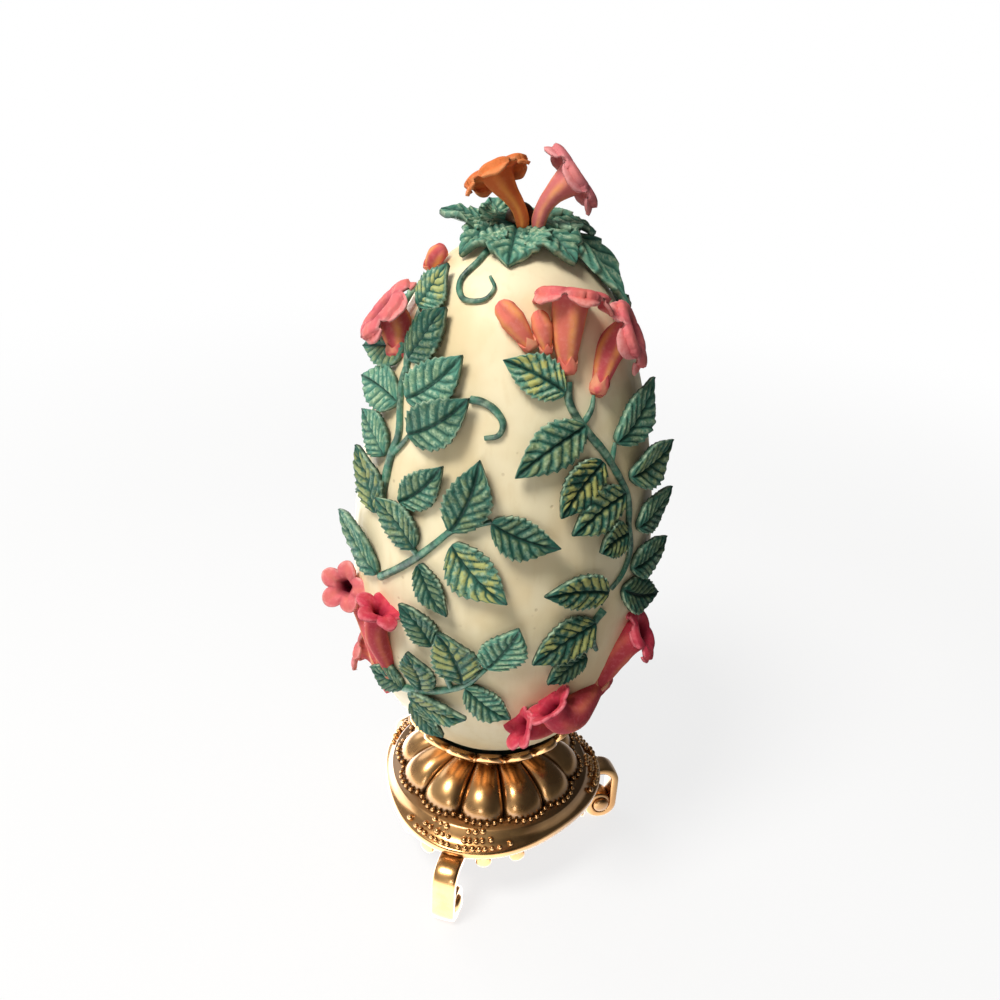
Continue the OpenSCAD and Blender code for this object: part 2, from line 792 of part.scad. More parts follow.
module gadroon_dome() {
    around = lobe_count * lobe_steps;
    inner = [
        [dome_end_r - lobe_scallop - dome_wall, dome_z + fit],
        [dome_end_r - lobe_scallop - dome_wall * 2.2, dome_z + dome_high * 0.32],
        [dome_top_r + 3, dome_z + dome_high - dome_wall * 1.6],
        [dome_top_r, dome_z + dome_high - dome_wall * 1.3]
    ];
    points = concat(
        [for (j = [0:dome_rings], k = [0:around - 1])
            dome_point(k * 360 / around + lobe_turn, sin(90 * j / dome_rings))],
        [for (p = inner, k = [0:around - 1])
            let (az = k * 360 / around + lobe_turn) [p[0] * sin(az), -p[0] * cos(az), p[1]]]
    );
    rings = dome_rings + 1 + len(inner);
    color(gold) polyhedron(points = points, faces = loop_faces(rings, around));
}

// The skirt: a rounded triangle that swells at each foot, sloping down to a plain rim
function skirt_edge(az) = skirt_radius + skirt_swell * cos(3 * (az - foot_front_az));

skirt_inner_r = dome_end_r - lobe_scallop - dome_wall - 0.6;
skirt_flat_r = dome_end_r + bead_width + 0.5;
// Share of the way from the flat seat to the rim, and share of the height
skirt_slope = [[0, 1], [0.35, 0.62], [0.7, 0.4], [1, 0.31]];

// Height of the skirt's upper face at an azimuth and a radius beyond the seat
function skirt_top(az, r) =
    skirt_z + skirt_high * lookup((r - skirt_flat_r) / (skirt_edge(az) - skirt_flat_r), skirt_slope);

// The bosses sit this far inside the skirt's mean radius
boss_in = 3.2;
boss_r = skirt_radius - boss_in;
boss_width = 4.4;
boss_high = skirt_high - skirt_thick * 0.8;

module skirt() {
    around = 72;
    rows = concat(
        [for (p = skirt_slope) [p[0], skirt_high * p[1]]],
        [[1, 0], [0.6, 0.1], [0.1, skirt_high - skirt_thick * 1.3]]
    );
    points = concat(
        [for (k = [0:around - 1]) let (az = k * 5) [skirt_inner_r * sin(az), -skirt_inner_r * cos(az), dome_z]],
        [for (row = rows, k = [0:around - 1])
            let (az = k * 5, r = skirt_flat_r + (skirt_edge(az) - skirt_flat_r) * row[0])
            [r * sin(az), -r * cos(az), skirt_z + row[1]]],
        [for (k = [0:around - 1])
            let (az = k * 5)
            [skirt_inner_r * sin(az), -skirt_inner_r * cos(az), dome_z - skirt_thick * 1.2]]
    );
    rings = len(rows) + 2;
    color(gold)
        difference() {
            union() {
                polyhedron(points = points, faces = loop_faces(rings, around));
                for (k = [0:2])
                    rotate([0, 0, foot_front_az + k * feet_apart])
                        translate([0, -boss_r, skirt_z])
                            cylinder(d = boss_width, h = boss_high, $fn = 48);
            }
            for (k = [0:2])
                rotate([0, 0, foot_front_az + k * feet_apart])
                    translate([0, -boss_r, skirt_z - 1])
                        cylinder(d = foot_screw_width, h = boss_high, $fn = 32);
        }
}

// A row of beads round the end of every lobe
module lobe_beads() {
    beads = 7;
    bead_span = 300 / lobe_count;
    color(gold)
        for (lobe = [0:lobe_count - 1], k = [0:beads - 1]) {
            az = lobe_turn + lobe * 360 / lobe_count + bead_span * (k / (beads - 1) - 0.5);
            r = dome_end_r - lobe_scallop * (1 - lobe_crest(az)) + bead_width / 2 + 0.15;
            translate([r * sin(az), -r * cos(az), dome_z + fit + bead_width / 2])
                sphere(d = bead_width, $fn = 24);
        }
}

// Bead work and short bars round the root of each foot
module filigree() {
    color(gold)
        for (foot = [0:2]) {
            foot_az = foot_front_az + foot * feet_apart;
            for (side = [-1, 1]) {
                for (k = [0:4]) on_skirt(foot_az + side * (3 + 4.4 * k), 1) filigree_bead();
                for (k = [0:2]) on_skirt(foot_az + side * (5 + 4.6 * k), 2.2) filigree_bead();
                on_skirt(foot_az + side * 27, 1)
                    translate([-1.2, 0, 0])
                        rotate([0, 90, 0]) {
                            cylinder(d = bead_width, h = 2.4, $fn = 24);
                            filigree_bead();
                            translate([0, 0, 2.4]) filigree_bead();
                        }
            }
        }
}

module filigree_bead() {
    sphere(d = bead_width, $fn = 24);
}

// A place that touches the slope of the skirt, a distance in from the rim
module on_skirt(az, inset) {
    r = skirt_edge(az) - inset;
    slope = (skirt_top(az, r + 0.3) - skirt_top(az, r - 0.3)) / 0.6;
    off = (bead_width / 2 + 0.15) / sqrt(1 + slope * slope);
    rotate([0, 0, az])
        translate([0, -r + off * slope, skirt_top(az, r) + off])
            children();
}

// Small keyhole-shaped tabs that hang from the rim, on both sides of each foot
module drop_tabs() {
    tab_thick = 1.3;
    neck = tab_round * 1.3;
    color(gold)
        for (foot = [0:2], turn = [-33, -15, 15, 33]) {
            az = foot_front_az + foot * feet_apart + turn;
            rotate([0, 0, az])
                translate([0, -skirt_edge(az) + 1.6, skirt_z - fit]) {
                    translate([-neck / 2, -tab_thick / 2, -tab_drop + tab_round])
                        cube([neck, tab_thick, tab_drop - tab_round]);
                    translate([0, tab_thick / 2, -tab_drop + tab_round])
                        rotate([90, 0, 0])
                            cylinder(r = tab_round, h = tab_thick, $fn = 48);
                }
        }
}

// A scroll foot: a band that runs out under the skirt, drops straight and rolls in round its eye
tongue_top = skirt_z - fit;
// depth of the flat that the foot stands on
foot_flat = 0.2;
knee_r = 4.5;
knee_x = foot_reach - knee_r;
knee_z = tongue_top - knee_r;
toe_r = 3.8;
toe_x = foot_reach - toe_r;
toe_z = toe_r - foot_flat;
tongue_in = boss_r - boss_width / 2 + 0.2;

function arc(x, z, r, from, to, count = 16) =
    [for (i = [0:count]) let (a = from + (to - from) * i / count) [x + r * cos(a), z + r * sin(a)]];

module foot(az) {
    color(gold)
        rotate([0, 0, az])
            difference() {
                union() {
                    translate([-foot_width / 2, 0, 0])
                        rotate([90, 0, -90])
                            translate([0, 0, -foot_width])
                                linear_extrude(foot_width)
                                    polygon(concat(
                                        [[tongue_in, tongue_top]],
                                        arc(knee_x, knee_z, knee_r, 90, 0),
                                        arc(toe_x, toe_z, toe_r, 0, -230),
                                        arc(toe_x, toe_z, toe_r - foot_band, -230, 0),
                                        arc(knee_x, knee_z, knee_r - foot_band, 0, 90),
                                        [[tongue_in, tongue_top - foot_band]]
                                    ));
                    translate([-foot_width / 2 - 0.5, -toe_x, toe_z])
                        rotate([0, 90, 0])
                            cylinder(r = eye_radius, h = foot_width + 1, $fn = 48);
                }
                translate([-foot_width, -foot_reach - 1, -2])
                    cube([foot_width * 2, foot_reach, 2]);
                translate([0, -boss_r, tongue_top - foot_band - 1])
                    cylinder(d = foot_screw_width + 0.4, h = foot_band + 2, $fn = 32);
            }
}

module foot_front() {
    foot(foot_front_az);
}

module foot_right() {
    foot(foot_front_az + feet_apart);
}

module foot_rear() {
    foot(foot_front_az + 2 * feet_apart);
}

module foot_screws() {
    head_high = 1.1;
    head_z = tongue_top - foot_band - fit - head_high;
    color(gold)
        for (k = [0:2])
            rotate([0, 0, foot_front_az + k * feet_apart])
                translate([0, -boss_r, head_z]) {
                    cylinder(d = foot_screw_width * 2, h = head_high, $fn = 32);
                    cylinder(d = foot_screw_width - 2 * fit, h = head_high + foot_band + boss_high - 1.2, $fn = 32);
                }
}

petal_cup();
felt_ring();
tie_screw();
clamp_washer();
gadroon_dome();
skirt();
lobe_beads();
filigree();
drop_tabs();
foot_front();
foot_right();
foot_rear();
foot_screws();
egg_shell();
base_plug();
crown_cap();
crown_rosette();
orange_trumpet();
pink_trumpet();
upper_tendril();
middle_tendril();
left_spray();
centre_spray();
right_spray();
low_left_spray();
low_right_spray();
left_trumpet();
upper_trumpet();
right_trumpet();
long_bud();
short_bud();
crimson_trumpet();
small_trumpet();
rear_trumpet();
low_right_trumpet();
low_open_trumpet();
back_left_spray();
back_right_spray();
back_low_spray();
back_tendril();
back_high_trumpet();
back_mid_trumpet();
back_low_trumpet();
back_bud();
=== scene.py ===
"""Dresses the decorative egg on its stand: relief, flowers, gilt stand, paint, light and camera."""
from __future__ import annotations

import logging
import math
from dataclasses import dataclass, field
from enum import Enum
from typing import Protocol

import bmesh
import bpy
import numpy as np
from mathutils import Matrix, Vector


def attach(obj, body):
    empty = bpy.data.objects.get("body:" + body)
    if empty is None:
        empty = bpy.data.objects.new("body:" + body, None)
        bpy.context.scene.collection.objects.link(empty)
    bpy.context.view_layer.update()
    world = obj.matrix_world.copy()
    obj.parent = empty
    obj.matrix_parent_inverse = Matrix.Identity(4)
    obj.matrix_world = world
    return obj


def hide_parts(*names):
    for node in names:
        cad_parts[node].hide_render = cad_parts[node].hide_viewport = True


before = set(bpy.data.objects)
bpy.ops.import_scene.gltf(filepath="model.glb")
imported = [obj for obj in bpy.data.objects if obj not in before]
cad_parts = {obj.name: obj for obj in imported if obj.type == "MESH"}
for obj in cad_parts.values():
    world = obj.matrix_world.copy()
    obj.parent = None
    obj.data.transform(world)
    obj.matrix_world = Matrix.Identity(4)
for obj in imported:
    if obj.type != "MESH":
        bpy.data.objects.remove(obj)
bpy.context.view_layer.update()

LOG = logging.getLogger("egg_on_stand")
Array = np.ndarray
Socket = bpy.types.NodeSocket
MM = 0.001
EGG_BODY = "egg"
STAND_BODY = "stand"


# Shared tools


def linear(red: int, green: int, blue: int) -> tuple[float, float, float, float]:
    """Turns a colour as a screen shows it into the shader's linear values.

    Args:
        red: Red from 0 to 255.
        green: Green from 0 to 255.
        blue: Blue from 0 to 255.

    Returns:
        Linear red, green, blue and an alpha of 1.
    """
    def one(value: int) -> float:
        """Undoes the screen curve for one channel."""
        share = value / 255
        return share / 12.92 if share <= 0.04045 else ((share + 0.055) / 1.055) ** 2.4

    return (one(red), one(green), one(blue), 1.0)


def smooth(low: float, high: float, value: Array) -> Array:
    """Rises smoothly from 0 at low to 1 at high.

    Args:
        low: Where the rise starts.
        high: Where it ends.
        value: Values to be judged.

    Returns:
        Shares from 0 to 1.
    """
    share = np.clip((value - low) / (high - low), 0, 1)
    return share * share * (3 - 2 * share)


def heading(az: float, rise: float) -> Array:
    """Returns the direction of an azimuth and an elevation in degrees."""
    a, e = math.radians(az), math.radians(rise)
    return np.array([math.cos(e) * math.sin(a), -math.cos(e) * math.cos(a), math.sin(e)])


def turned(points: Array, degrees: float) -> Array:
    """Turns points round the object's axis.

    Args:
        points: Points as rows of x, y and z.
        degrees: Angle from the front towards the right.

    Returns:
        The turned points.
    """
    a = math.radians(degrees)
    x, y, z = points[..., 0], points[..., 1], points[..., 2]
    return np.stack([x * math.cos(a) - y * math.sin(a), x * math.sin(a) + y * math.cos(a), z], -1)


def circle(count: int) -> Array:
    """Returns angles in radians, evenly round a circle."""
    return np.linspace(0, 2 * np.pi, count, endpoint=False)


def around_axis(r: Array, az: Array, z: Array) -> Array:
    """Places points round the object's axis.

    Args:
        r: Distances from the axis.
        az: Angles from the front towards the right, in radians.
        z: Heights.

    Returns:
        Points with x, y and z on the last axis.
    """
    return np.stack(np.broadcast_arrays(r * np.sin(az), -r * np.cos(az), z), -1)


class Draft:
    """Collects the points, faces and painted values of one piece."""

    def __init__(self) -> None:
        """Starts with nothing in it."""
        self.points: list[Array] = []
        self.faces: list[tuple[int, ...]] = []
        self.values: list[tuple[int, int, dict[str, Array]]] = []
        self.count = 0

    def _take(self, points: Array, values: dict[str, Array]) -> int:
        """Stores points with their values.

        Args:
            points: Points as rows.
            values: Painted values by name, one for each point.

        Returns:
            The index of the first of them.
        """
        start = self.count
        self.points.append(points)
        self.values.append((start, len(points), values))
        self.count += len(points)
        return start

    def loft(self, rings: Array, first: Array, last: Array,
             values: dict[str, Array | float] | None = None) -> None:
        """Adds a closed body of rings with a pole at each end.

        Args:
            rings: Points in the order ring, place on the ring, coordinate.
            first: The pole before the first ring.
            last: The pole after the last ring.
            values: Painted values by name, in the order ring, place on the ring.
        """
        count, size = rings.shape[:2]
        painted = {}
        for name, grid in (values or {}).items():
            full = np.broadcast_to(np.asarray(grid, float), (count, size))
            painted[name] = np.concatenate([[full[0].mean()], full.ravel(), [full[-1].mean()]])
        points = np.concatenate([first[None], rings.reshape(-1, 3), last[None]])
        start = self._take(points, painted)
        around = [(k, (k + 1) % size) for k in range(size)]
        for a, b in around:
            self.faces.append((start, start + 1 + b, start + 1 + a))
        for i in range(count - 1):
            here, there = start + 1 + i * size, start + 1 + (i + 1) * size
            self.faces.extend((here + a, here + b, there + b, there + a) for a, b in around)
        end = start + 1 + count * size
        row = start + 1 + (count - 1) * size
        for a, b in around:
            self.faces.append((row + a, row + b, end))

    def band(self, grid: Array, close_rows: bool, close_columns: bool,
             values: dict[str, Array | float] | None = None) -> None:
        """Adds a sheet of rows and columns, closed on itself where asked.

        Args:
            grid: Points in the order row, column, coordinate.
            close_rows: True where the last row joins the first.
            close_columns: True where the last column joins the first.
            values: Painted values by name, in the order row, column.
        """
        rows, columns = grid.shape[:2]
        painted = {name: np.broadcast_to(np.asarray(v, float), (rows, columns)).ravel()
                   for name, v in (values or {}).items()}
        start = self._take(grid.reshape(-1, 3), painted)
        for i in range(rows if close_rows else rows - 1):
            for k in range(columns if close_columns else columns - 1):
                j, m = (i + 1) % rows, (k + 1) % columns
                self.faces.append((start + i * columns + k, start + i * columns + m,
                                   start + j * columns + m, start + j * columns + k))

    def to_object(self, name: str, settle: bool = True) -> bpy.types.Object:
        """Turns the draft into an object in the scene.

        Args:
            name: Name of the object and its mesh.
            settle: True to turn all faces outwards.

        Returns:
            The object, shaded smooth, with the painted values as its mesh's attributes.
        """
        mesh = bpy.data.meshes.new(name)
        mesh.from_pydata(np.concatenate(self.points).tolist(), [], self.faces)
        names = sorted({key for _, _, painted in self.values for key in painted})
        for key in names:
            column = np.zeros(self.count)
            for start, size, painted in self.values:
                if key in painted:
                    column[start:start + size] = painted[key]
            mesh.attributes.new(key, "FLOAT", "POINT").data.foreach_set("value", column)
        if settle:
            turn_outwards(mesh)
        mesh.shade_smooth()
        mesh.update()
        return new_object(name, mesh)


def turn_outwards(mesh: bpy.types.Mesh) -> None:
    """Turns the faces of each closed body of a mesh outwards."""
    work = bmesh.new()
    work.from_mesh(mesh)
    bmesh.ops.recalc_face_normals(work, faces=work.faces)
    work.to_mesh(mesh)
    work.free()


def new_object(name: str, mesh: bpy.types.Mesh) -> bpy.types.Object:
    """Puts a mesh into the scene as an object.

    Args:
        name: Name of the piece.
        mesh: Its mesh.

    Returns:
        The object, at the origin.
    """
    obj = bpy.data.objects.new(name, mesh)
    bpy.context.scene.collection.objects.link(obj)
    return obj


def settle_piece(obj: bpy.types.Object, body: str, nodes: tuple[str, ...],
                 material: bpy.types.Material | None = None) -> None:
    """Gives a finished piece its material, body and nodes, and reports it.

    Args:
        obj: The piece.
        body: The body that it moves with.
        nodes: The nodes that it stands for.
        material: Its material, if the mesh has none yet.
    """
    if material is not None:
        obj.data.materials.clear()
        obj.data.materials.append(material)
    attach(obj, body)
    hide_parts(*nodes)
    LOG.info("%s: %d faces, stands for %s", obj.name, len(obj.data.polygons), ", ".join(nodes))


class Graph:
    """Adds and joins the nodes of one shader or geometry tree.

    finer_layers is the strength of the finer layers of its noises.
    """

    finer_layers = 0.55

    def __init__(self, tree: bpy.types.NodeTree) -> None:
        """Takes the tree that is to be filled."""
        self.tree = tree
        self.made = 0

    def add(self, kind: str, inputs: dict | None = None, **settings: object) -> bpy.types.Node:
        """Adds a node.

        Args:
            kind: The node's type.
            inputs: Values or sockets by the input's name or number.
            **settings: The node's own settings.

        Returns:
            The node.
        """
        node = self.tree.nodes.new(kind)
        for key, value in settings.items():
            setattr(node, key, value)
        for key, value in (inputs or {}).items():
            self.feed(node.inputs[key], value)
        node.location = (self.made % 12 * 190, -(self.made // 12) * 320)
        self.made += 1
        return node

    def feed(self, socket: Socket, value: object) -> None:
        """Links a socket to another, or sets its value."""
        if isinstance(value, Socket):
            self.tree.links.new(value, socket)
        else:
            socket.default_value = value

    def math(self, operation: str, *values: object, clamp: bool = False) -> Socket:
        """Adds a calculation.

        Args:
            operation: Name of the operation.
            *values: Numbers or sockets.
            clamp: True to keep the result from 0 to 1.

        Returns:
            The result's socket.
        """
        node = self.add("ShaderNodeMath", operation=operation, use_clamp=clamp)
        for socket, value in zip(node.inputs, values):
            self.feed(socket, value)
        return node.outputs[0]

    def span(self, value: object, low: float, high: float, to_low: float = 0.0,
             to_high: float = 1.0) -> Socket:
        """Maps a range of a value smoothly to another range.

        Args:
            value: Socket to be mapped.
            low: Where the range starts.
            high: Where it ends.
            to_low: Result at its start.
            to_high: Result at its end.

        Returns:
            The result's socket.
        """
        node = self.add("ShaderNodeMapRange", {"Value": value, "From Min": low, "From Max": high,
                                               "To Min": to_low, "To Max": to_high},
                        interpolation_type="SMOOTHSTEP")
        return node.outputs["Result"]

    def times(self, first: object, second: object, clamp: bool = False) -> Socket:
        """Multiplies two numbers or sockets."""
        return self.math("MULTIPLY", first, second, clamp=clamp)

    def plus(self, first: object, second: object, clamp: bool = False) -> Socket:
        """Adds two numbers or sockets."""
        return self.math("ADD", first, second, clamp=clamp)

    def blend(self, share: object, first: object, second: object) -> Socket:
        """Mixes two colours.

        Args:
            share: How much of the second.
            first: Colour or socket.
            second: Colour or socket.

        Returns:
            The result's socket.
        """
        node = self.add("ShaderNodeMix", data_type="RGBA")
        self.feed(node.inputs[0], share)
        self.feed(node.inputs[6], first)
        self.feed(node.inputs[7], second)
        return node.outputs[2]

    def noise(self, scale: float, detail: float = 3.0, vector: object | None = None) -> Socket:
        """Adds a noise that follows the object's own coordinates.

        Args:
            scale: Waves per metre.
            detail: Number of finer layers.
            vector: Coordinates, if others than the object's.

        Returns:
            The noise's value from 0 to 1.
        """
        inputs = {"Scale": scale, "Detail": detail, "Roughness": self.finer_layers}
        inputs["Vector"] = self.place() if vector is None else vector
        return self.add("ShaderNodeTexNoise", inputs).outputs[0]

    def place(self) -> Socket:
        """Returns the object's own coordinates."""
        return self.add("ShaderNodeTexCoord").outputs["Object"]

    def painted(self, name: str) -> Socket:
        """Returns a value painted on the mesh."""
        return self.add("ShaderNodeAttribute", attribute_name=name).outputs["Fac"]


# Finishes


class Finish:
    """A paint or metal that is made once and used by several pieces."""

    name = "finish"

    def material(self) -> bpy.types.Material:
        """Returns the material, made on first use."""
        found = bpy.data.materials.get(self.name)
        if found:
            return found
        made = bpy.data.materials.new(self.name)
        made.use_nodes = True
        graph = Graph(made.node_tree)
        shader = made.node_tree.nodes["Principled BSDF"]
        self.paint(graph, shader)
        return made

    def paint(self, graph: Graph, shader: bpy.types.Node) -> None:
        """Fills the material's tree.

        Args:
            graph: The tree's helper.
            shader: The main shader.
        """
        raise NotImplementedError

    @staticmethod
    def emboss(graph: Graph, shader: bpy.types.Node, height: object, strength: float,
               depth: float) -> None:
        """Adds a bump to the shader.

        Args:
            graph: The tree's helper.
            shader: The main shader.
            height: Socket with the height.
            strength: Strength of the bump.
            depth: Depth of the bump in metres.
        """
        node = graph.add("ShaderNodeBump", {"Height": height, "Strength": strength, "Distance": depth})
        graph.feed(shader.inputs["Normal"], node.outputs[0])


@dataclass(frozen=True)
class CreamPlaster(Finish):
    """Cream paint on the cast egg, with brush marks and tiny pits."""

    name: str = "cream_plaster"
    pale: tuple = linear(245, 230, 192)
    warm: tuple = linear(230, 208, 162)
    pit: tuple = linear(176, 150, 108)

    def paint(self, graph: Graph, shader: bpy.types.Node) -> None:
        """Fills the material's tree."""
        cloud = graph.span(graph.noise(55, 3), 0.4, 0.68)
        ground = graph.blend(cloud, self.pale, self.warm)
        stroke = graph.add("ShaderNodeMapping", {"Vector": graph.place(), "Scale": (1, 1, 0.3)})
        brushed = graph.noise(620, 4, stroke.outputs[0])
        ground = graph.blend(graph.span(brushed, 0.5, 0.75, 0, 0.3), ground, self.warm)
        dots = graph.add("ShaderNodeTexVoronoi", {"Vector": graph.place(), "Scale": 330.0})
        pit = graph.span(dots.outputs["Distance"], 0.06, 0.13, 1, 0)
        pit = graph.times(pit, graph.span(graph.noise(90, 1), 0.52, 0.6))
        colour = graph.blend(graph.times(pit, 0.35), ground, self.pit)
        graph.feed(shader.inputs["Base Color"], colour)
        graph.feed(shader.inputs["Roughness"], graph.span(brushed, 0.3, 0.7, 0.42, 0.62))
        shader.inputs["Specular IOR Level"].default_value = 0.4
        height = graph.math("SUBTRACT", graph.times(brushed, 0.5), pit)
        height = graph.plus(height, graph.times(graph.noise(210, 2), 1.2))
        self.emboss(graph, shader, height, 0.5, 0.12 * MM)


@dataclass(frozen=True)
class LeafPaint(Finish):
    """Hand-painted leaf: dark veins, teal cells, a pale rim and dabs of yellow-green."""

    name: str = "leaf_paint"
    dark: tuple = linear(10, 38, 30)
    deep: tuple = linear(24, 76, 62)
    teal: tuple = linear(88, 148, 126)
    pale: tuple = linear(190, 212, 176)
    dab: tuple = linear(200, 196, 108)

    def paint(self, graph: Graph, shader: bpy.types.Node) -> None:
        """Fills the material's tree."""
        vein, cell = graph.painted("vein"), graph.painted("cell")
        rim, tone, dab = graph.painted("rim"), graph.painted("tone"), graph.painted("dab")
        patch = graph.noise(260, 3)
        fine = graph.noise(1500, 3)
        shade = graph.plus(tone, graph.math("MULTIPLY_ADD", patch, 0.7, -0.35))
        ground = graph.blend(graph.span(shade, 0.25, 0.85), self.deep, self.teal)
        lit = graph.times(graph.span(cell, 0.55, 1), graph.span(fine, 0.35, 0.7))
        lit = graph.times(lit, graph.span(shade, 0.1, 0.8, 0.15, 0.9))
        colour = graph.blend(lit, ground, self.pale)
        spot = graph.times(dab, graph.span(graph.noise(420, 2), 0.42, 0.6))
        spot = graph.times(spot, graph.span(cell, 0.2, 0.7))
        colour = graph.blend(graph.times(spot, 0.85, clamp=True), colour, self.dab)
        edge = graph.times(rim, graph.span(graph.noise(700, 2), 0.35, 0.65, 0.15, 0.8))
        colour = graph.blend(edge, colour, self.pale)
        line = graph.times(vein, graph.span(fine, 0.25, 0.6, 0.6, 0.95))
        colour = graph.blend(line, colour, self.dark)
        # Painted shade: the leaf's underside is painted dark.
        colour = graph.blend(graph.painted("under"), colour, self.dark)
        graph.feed(shader.inputs["Base Color"], colour)
        graph.feed(shader.inputs["Roughness"], graph.span(fine, 0.3, 0.7, 0.5, 0.72))
        shader.inputs["Specular IOR Level"].default_value = 0.25
        height = graph.plus(fine, graph.times(patch, 0.8))
        self.emboss(graph, shader, height, 0.5, 0.16 * MM)


@dataclass(frozen=True)
class StemPaint(Finish):
    """Teal stem, darker in patches, with rubbed highlights."""

    name: str = "stem_paint"
    dark: tuple = linear(20, 60, 48)
    teal: tuple = linear(54, 116, 94)
    pale: tuple = linear(176, 202, 168)

    def paint(self, graph: Graph, shader: bpy.types.Node) -> None:
        """Fills the material's tree."""
        rib = graph.painted("rib")
        patch = graph.noise(340, 3)
        colour = graph.blend(graph.span(patch, 0.35, 0.65), self.dark, self.teal)
        worn = graph.math("MULTIPLY_ADD", rib, 0.2, graph.span(graph.noise(700, 3), 0.45, 0.7))
        lit = graph.times(worn, 0.38, clamp=True)
        colour = graph.blend(lit, colour, self.pale)
        graph.feed(shader.inputs["Base Color"], colour)
        graph.feed(shader.inputs["Roughness"], graph.span(patch, 0.3, 0.7, 0.4, 0.6))
        self.emboss(graph, shader, graph.noise(1100, 3), 0.6, 0.18 * MM)


@dataclass(frozen=True)
class PetalPaint(Finish):
    """Hand-painted petal: tube with a darker foot, streaks, lighter rim, pale calyx, painted shade in the
    creases, and a dark throat that is its colour and painted shade.
    """

    name: str = "petal_paint"
    tube: tuple = linear(222, 116, 98)
    streak: tuple = linear(242, 166, 96)
    lobe: tuple = linear(214, 100, 102)
    rim: tuple = linear(238, 166, 156)
    throat: tuple = linear(112, 18, 40)
    calyx: tuple = linear(222, 150, 116)

    def paint(self, graph: Graph, shader: bpy.types.Node) -> None:
        """Fills the material's tree."""
        along, inside, edge = graph.painted("along"), graph.painted("inside"), graph.painted("edge")
        fine = graph.noise(1300, 3)
        patch = graph.noise(230, 3)
        foot = graph.blend(graph.span(along, 0.0, 0.45, 0.3, 0.0), self.tube, self.throat)
        colour = graph.blend(graph.span(along, 0.8, 1.05), foot, self.lobe)
        stripe = graph.times(graph.painted("stripe"), graph.span(patch, 0.3, 0.6, 0.35, 1.0))
        stripe = graph.times(stripe, graph.span(along, 0.7, 1.0, 1, 0.15))
        colour = graph.blend(stripe, colour, self.streak)
        wash = graph.times(graph.span(fine, 0.45, 0.75), 0.22)
        colour = graph.blend(wash, colour, self.rim)
        worn = graph.times(edge, graph.span(fine, 0.3, 0.6, 0.2, 0.7))
        colour = graph.blend(worn, colour, self.rim)
        # Painted shade: darker in the creases between lobes and in the folds of buds.
        colour = graph.blend(graph.times(graph.painted("fold"), 0.35), colour, self.throat)
        # The throat is painted dark: partly its crimson colour, partly the shade of a deep throat.
        colour = graph.blend(inside, colour, self.throat)
        calyx = graph.blend(graph.span(patch, 0.4, 0.6), self.calyx, self.tube)
        colour = graph.blend(graph.painted("calyx"), colour, calyx)
        graph.feed(shader.inputs["Base Color"], colour)
        graph.feed(shader.inputs["Roughness"], graph.span(fine, 0.3, 0.7, 0.58, 0.78))
        shader.inputs["Specular IOR Level"].default_value = 0.15
        self.emboss(graph, shader, graph.plus(fine, patch), 0.45, 0.14 * MM)


class Petals(Enum):
    """The petal colours on the egg."""

    CORAL = PetalPaint("coral_paint")
    ROSE = PetalPaint("rose_paint", linear(208, 88, 92), linear(240, 158, 96), linear(218, 108, 112),
                      linear(240, 172, 166), linear(112, 16, 44))
    CRIMSON = PetalPaint("crimson_paint", linear(184, 64, 72), linear(216, 112, 88), linear(204, 58, 80),
                         linear(236, 134, 142), linear(150, 20, 48))
    ORANGE = PetalPaint("orange_paint", linear(206, 106, 54), linear(230, 146, 70), linear(212, 112, 58),
                        linear(232, 156, 104), linear(150, 60, 30), linear(196, 140, 80))
    PINK = PetalPaint("pink_paint", linear(204, 112, 108), linear(230, 154, 104), linear(206, 116, 120),
                      linear(230, 162, 160), linear(150, 56, 66), linear(220, 150, 84))


@dataclass(frozen=True)
class Gilding(Finish):
    """Satin antique gold with painted shade in the hollows and on the undersides, partly the antique
    darkening of its hollows.
    """

    name: str = "gilding"
    bright: tuple = linear(204, 158, 100)
    gold: tuple = linear(178, 130, 76)
    dark: tuple = linear(62, 40, 24)

    def paint(self, graph: Graph, shader: bpy.types.Node) -> None:
        """Fills the material's tree."""
        hollow = graph.painted("hollow")
        patch = graph.noise(150, 3)
        fine = graph.noise(1800, 3)
        colour = graph.blend(graph.span(patch, 0.35, 0.7), self.gold, self.bright)
        # Painted shade, partly antique darkening: darkest where the mask marks hollows and undersides.
        shade_and_antique_dark = graph.times(hollow, graph.span(patch, 0.3, 0.7, 0.8, 1.0), clamp=True)
        colour = graph.blend(shade_and_antique_dark, colour, self.dark)
        graph.feed(shader.inputs["Base Color"], colour)
        shader.inputs["Metallic"].default_value = 1.0
        rough = graph.math("MULTIPLY_ADD", hollow, 0.22, graph.span(patch, 0.3, 0.7, 0.25, 0.31))
        graph.feed(shader.inputs["Roughness"], rough)
        shader.inputs["Coat Weight"].default_value = 0.8
        shader.inputs["Coat Roughness"].default_value = 0.16
        self.emboss(graph, shader, graph.math("MULTIPLY_ADD", patch, 3.0, fine), 0.08, 0.03 * MM)


@dataclass(frozen=True)
class PlainMatter(Finish):
    """A small plain part: felt, rubber plug or dark bronze."""

    name: str = "plain"
    first: tuple = linear(40, 60, 46)
    second: tuple = linear(60, 84, 66)
    metallic: float = 0.0
    rough_low: float = 0.8
    rough_high: float = 0.95
    grain: float = 2400.0
    depth: float = 0.2 * MM

    def paint(self, graph: Graph, shader: bpy.types.Node) -> None:
        """Fills the material's tree."""
        fine = graph.noise(self.grain, 4)
        colour = graph.blend(graph.span(fine, 0.35, 0.65), self.first, self.second)
        graph.feed(shader.inputs["Base Color"], colour)
        shader.inputs["Metallic"].default_value = self.metallic
        graph.feed(shader.inputs["Roughness"], graph.span(fine, 0.3, 0.7, self.rough_low, self.rough_high))
        self.emboss(graph, shader, fine, 0.5, self.depth)


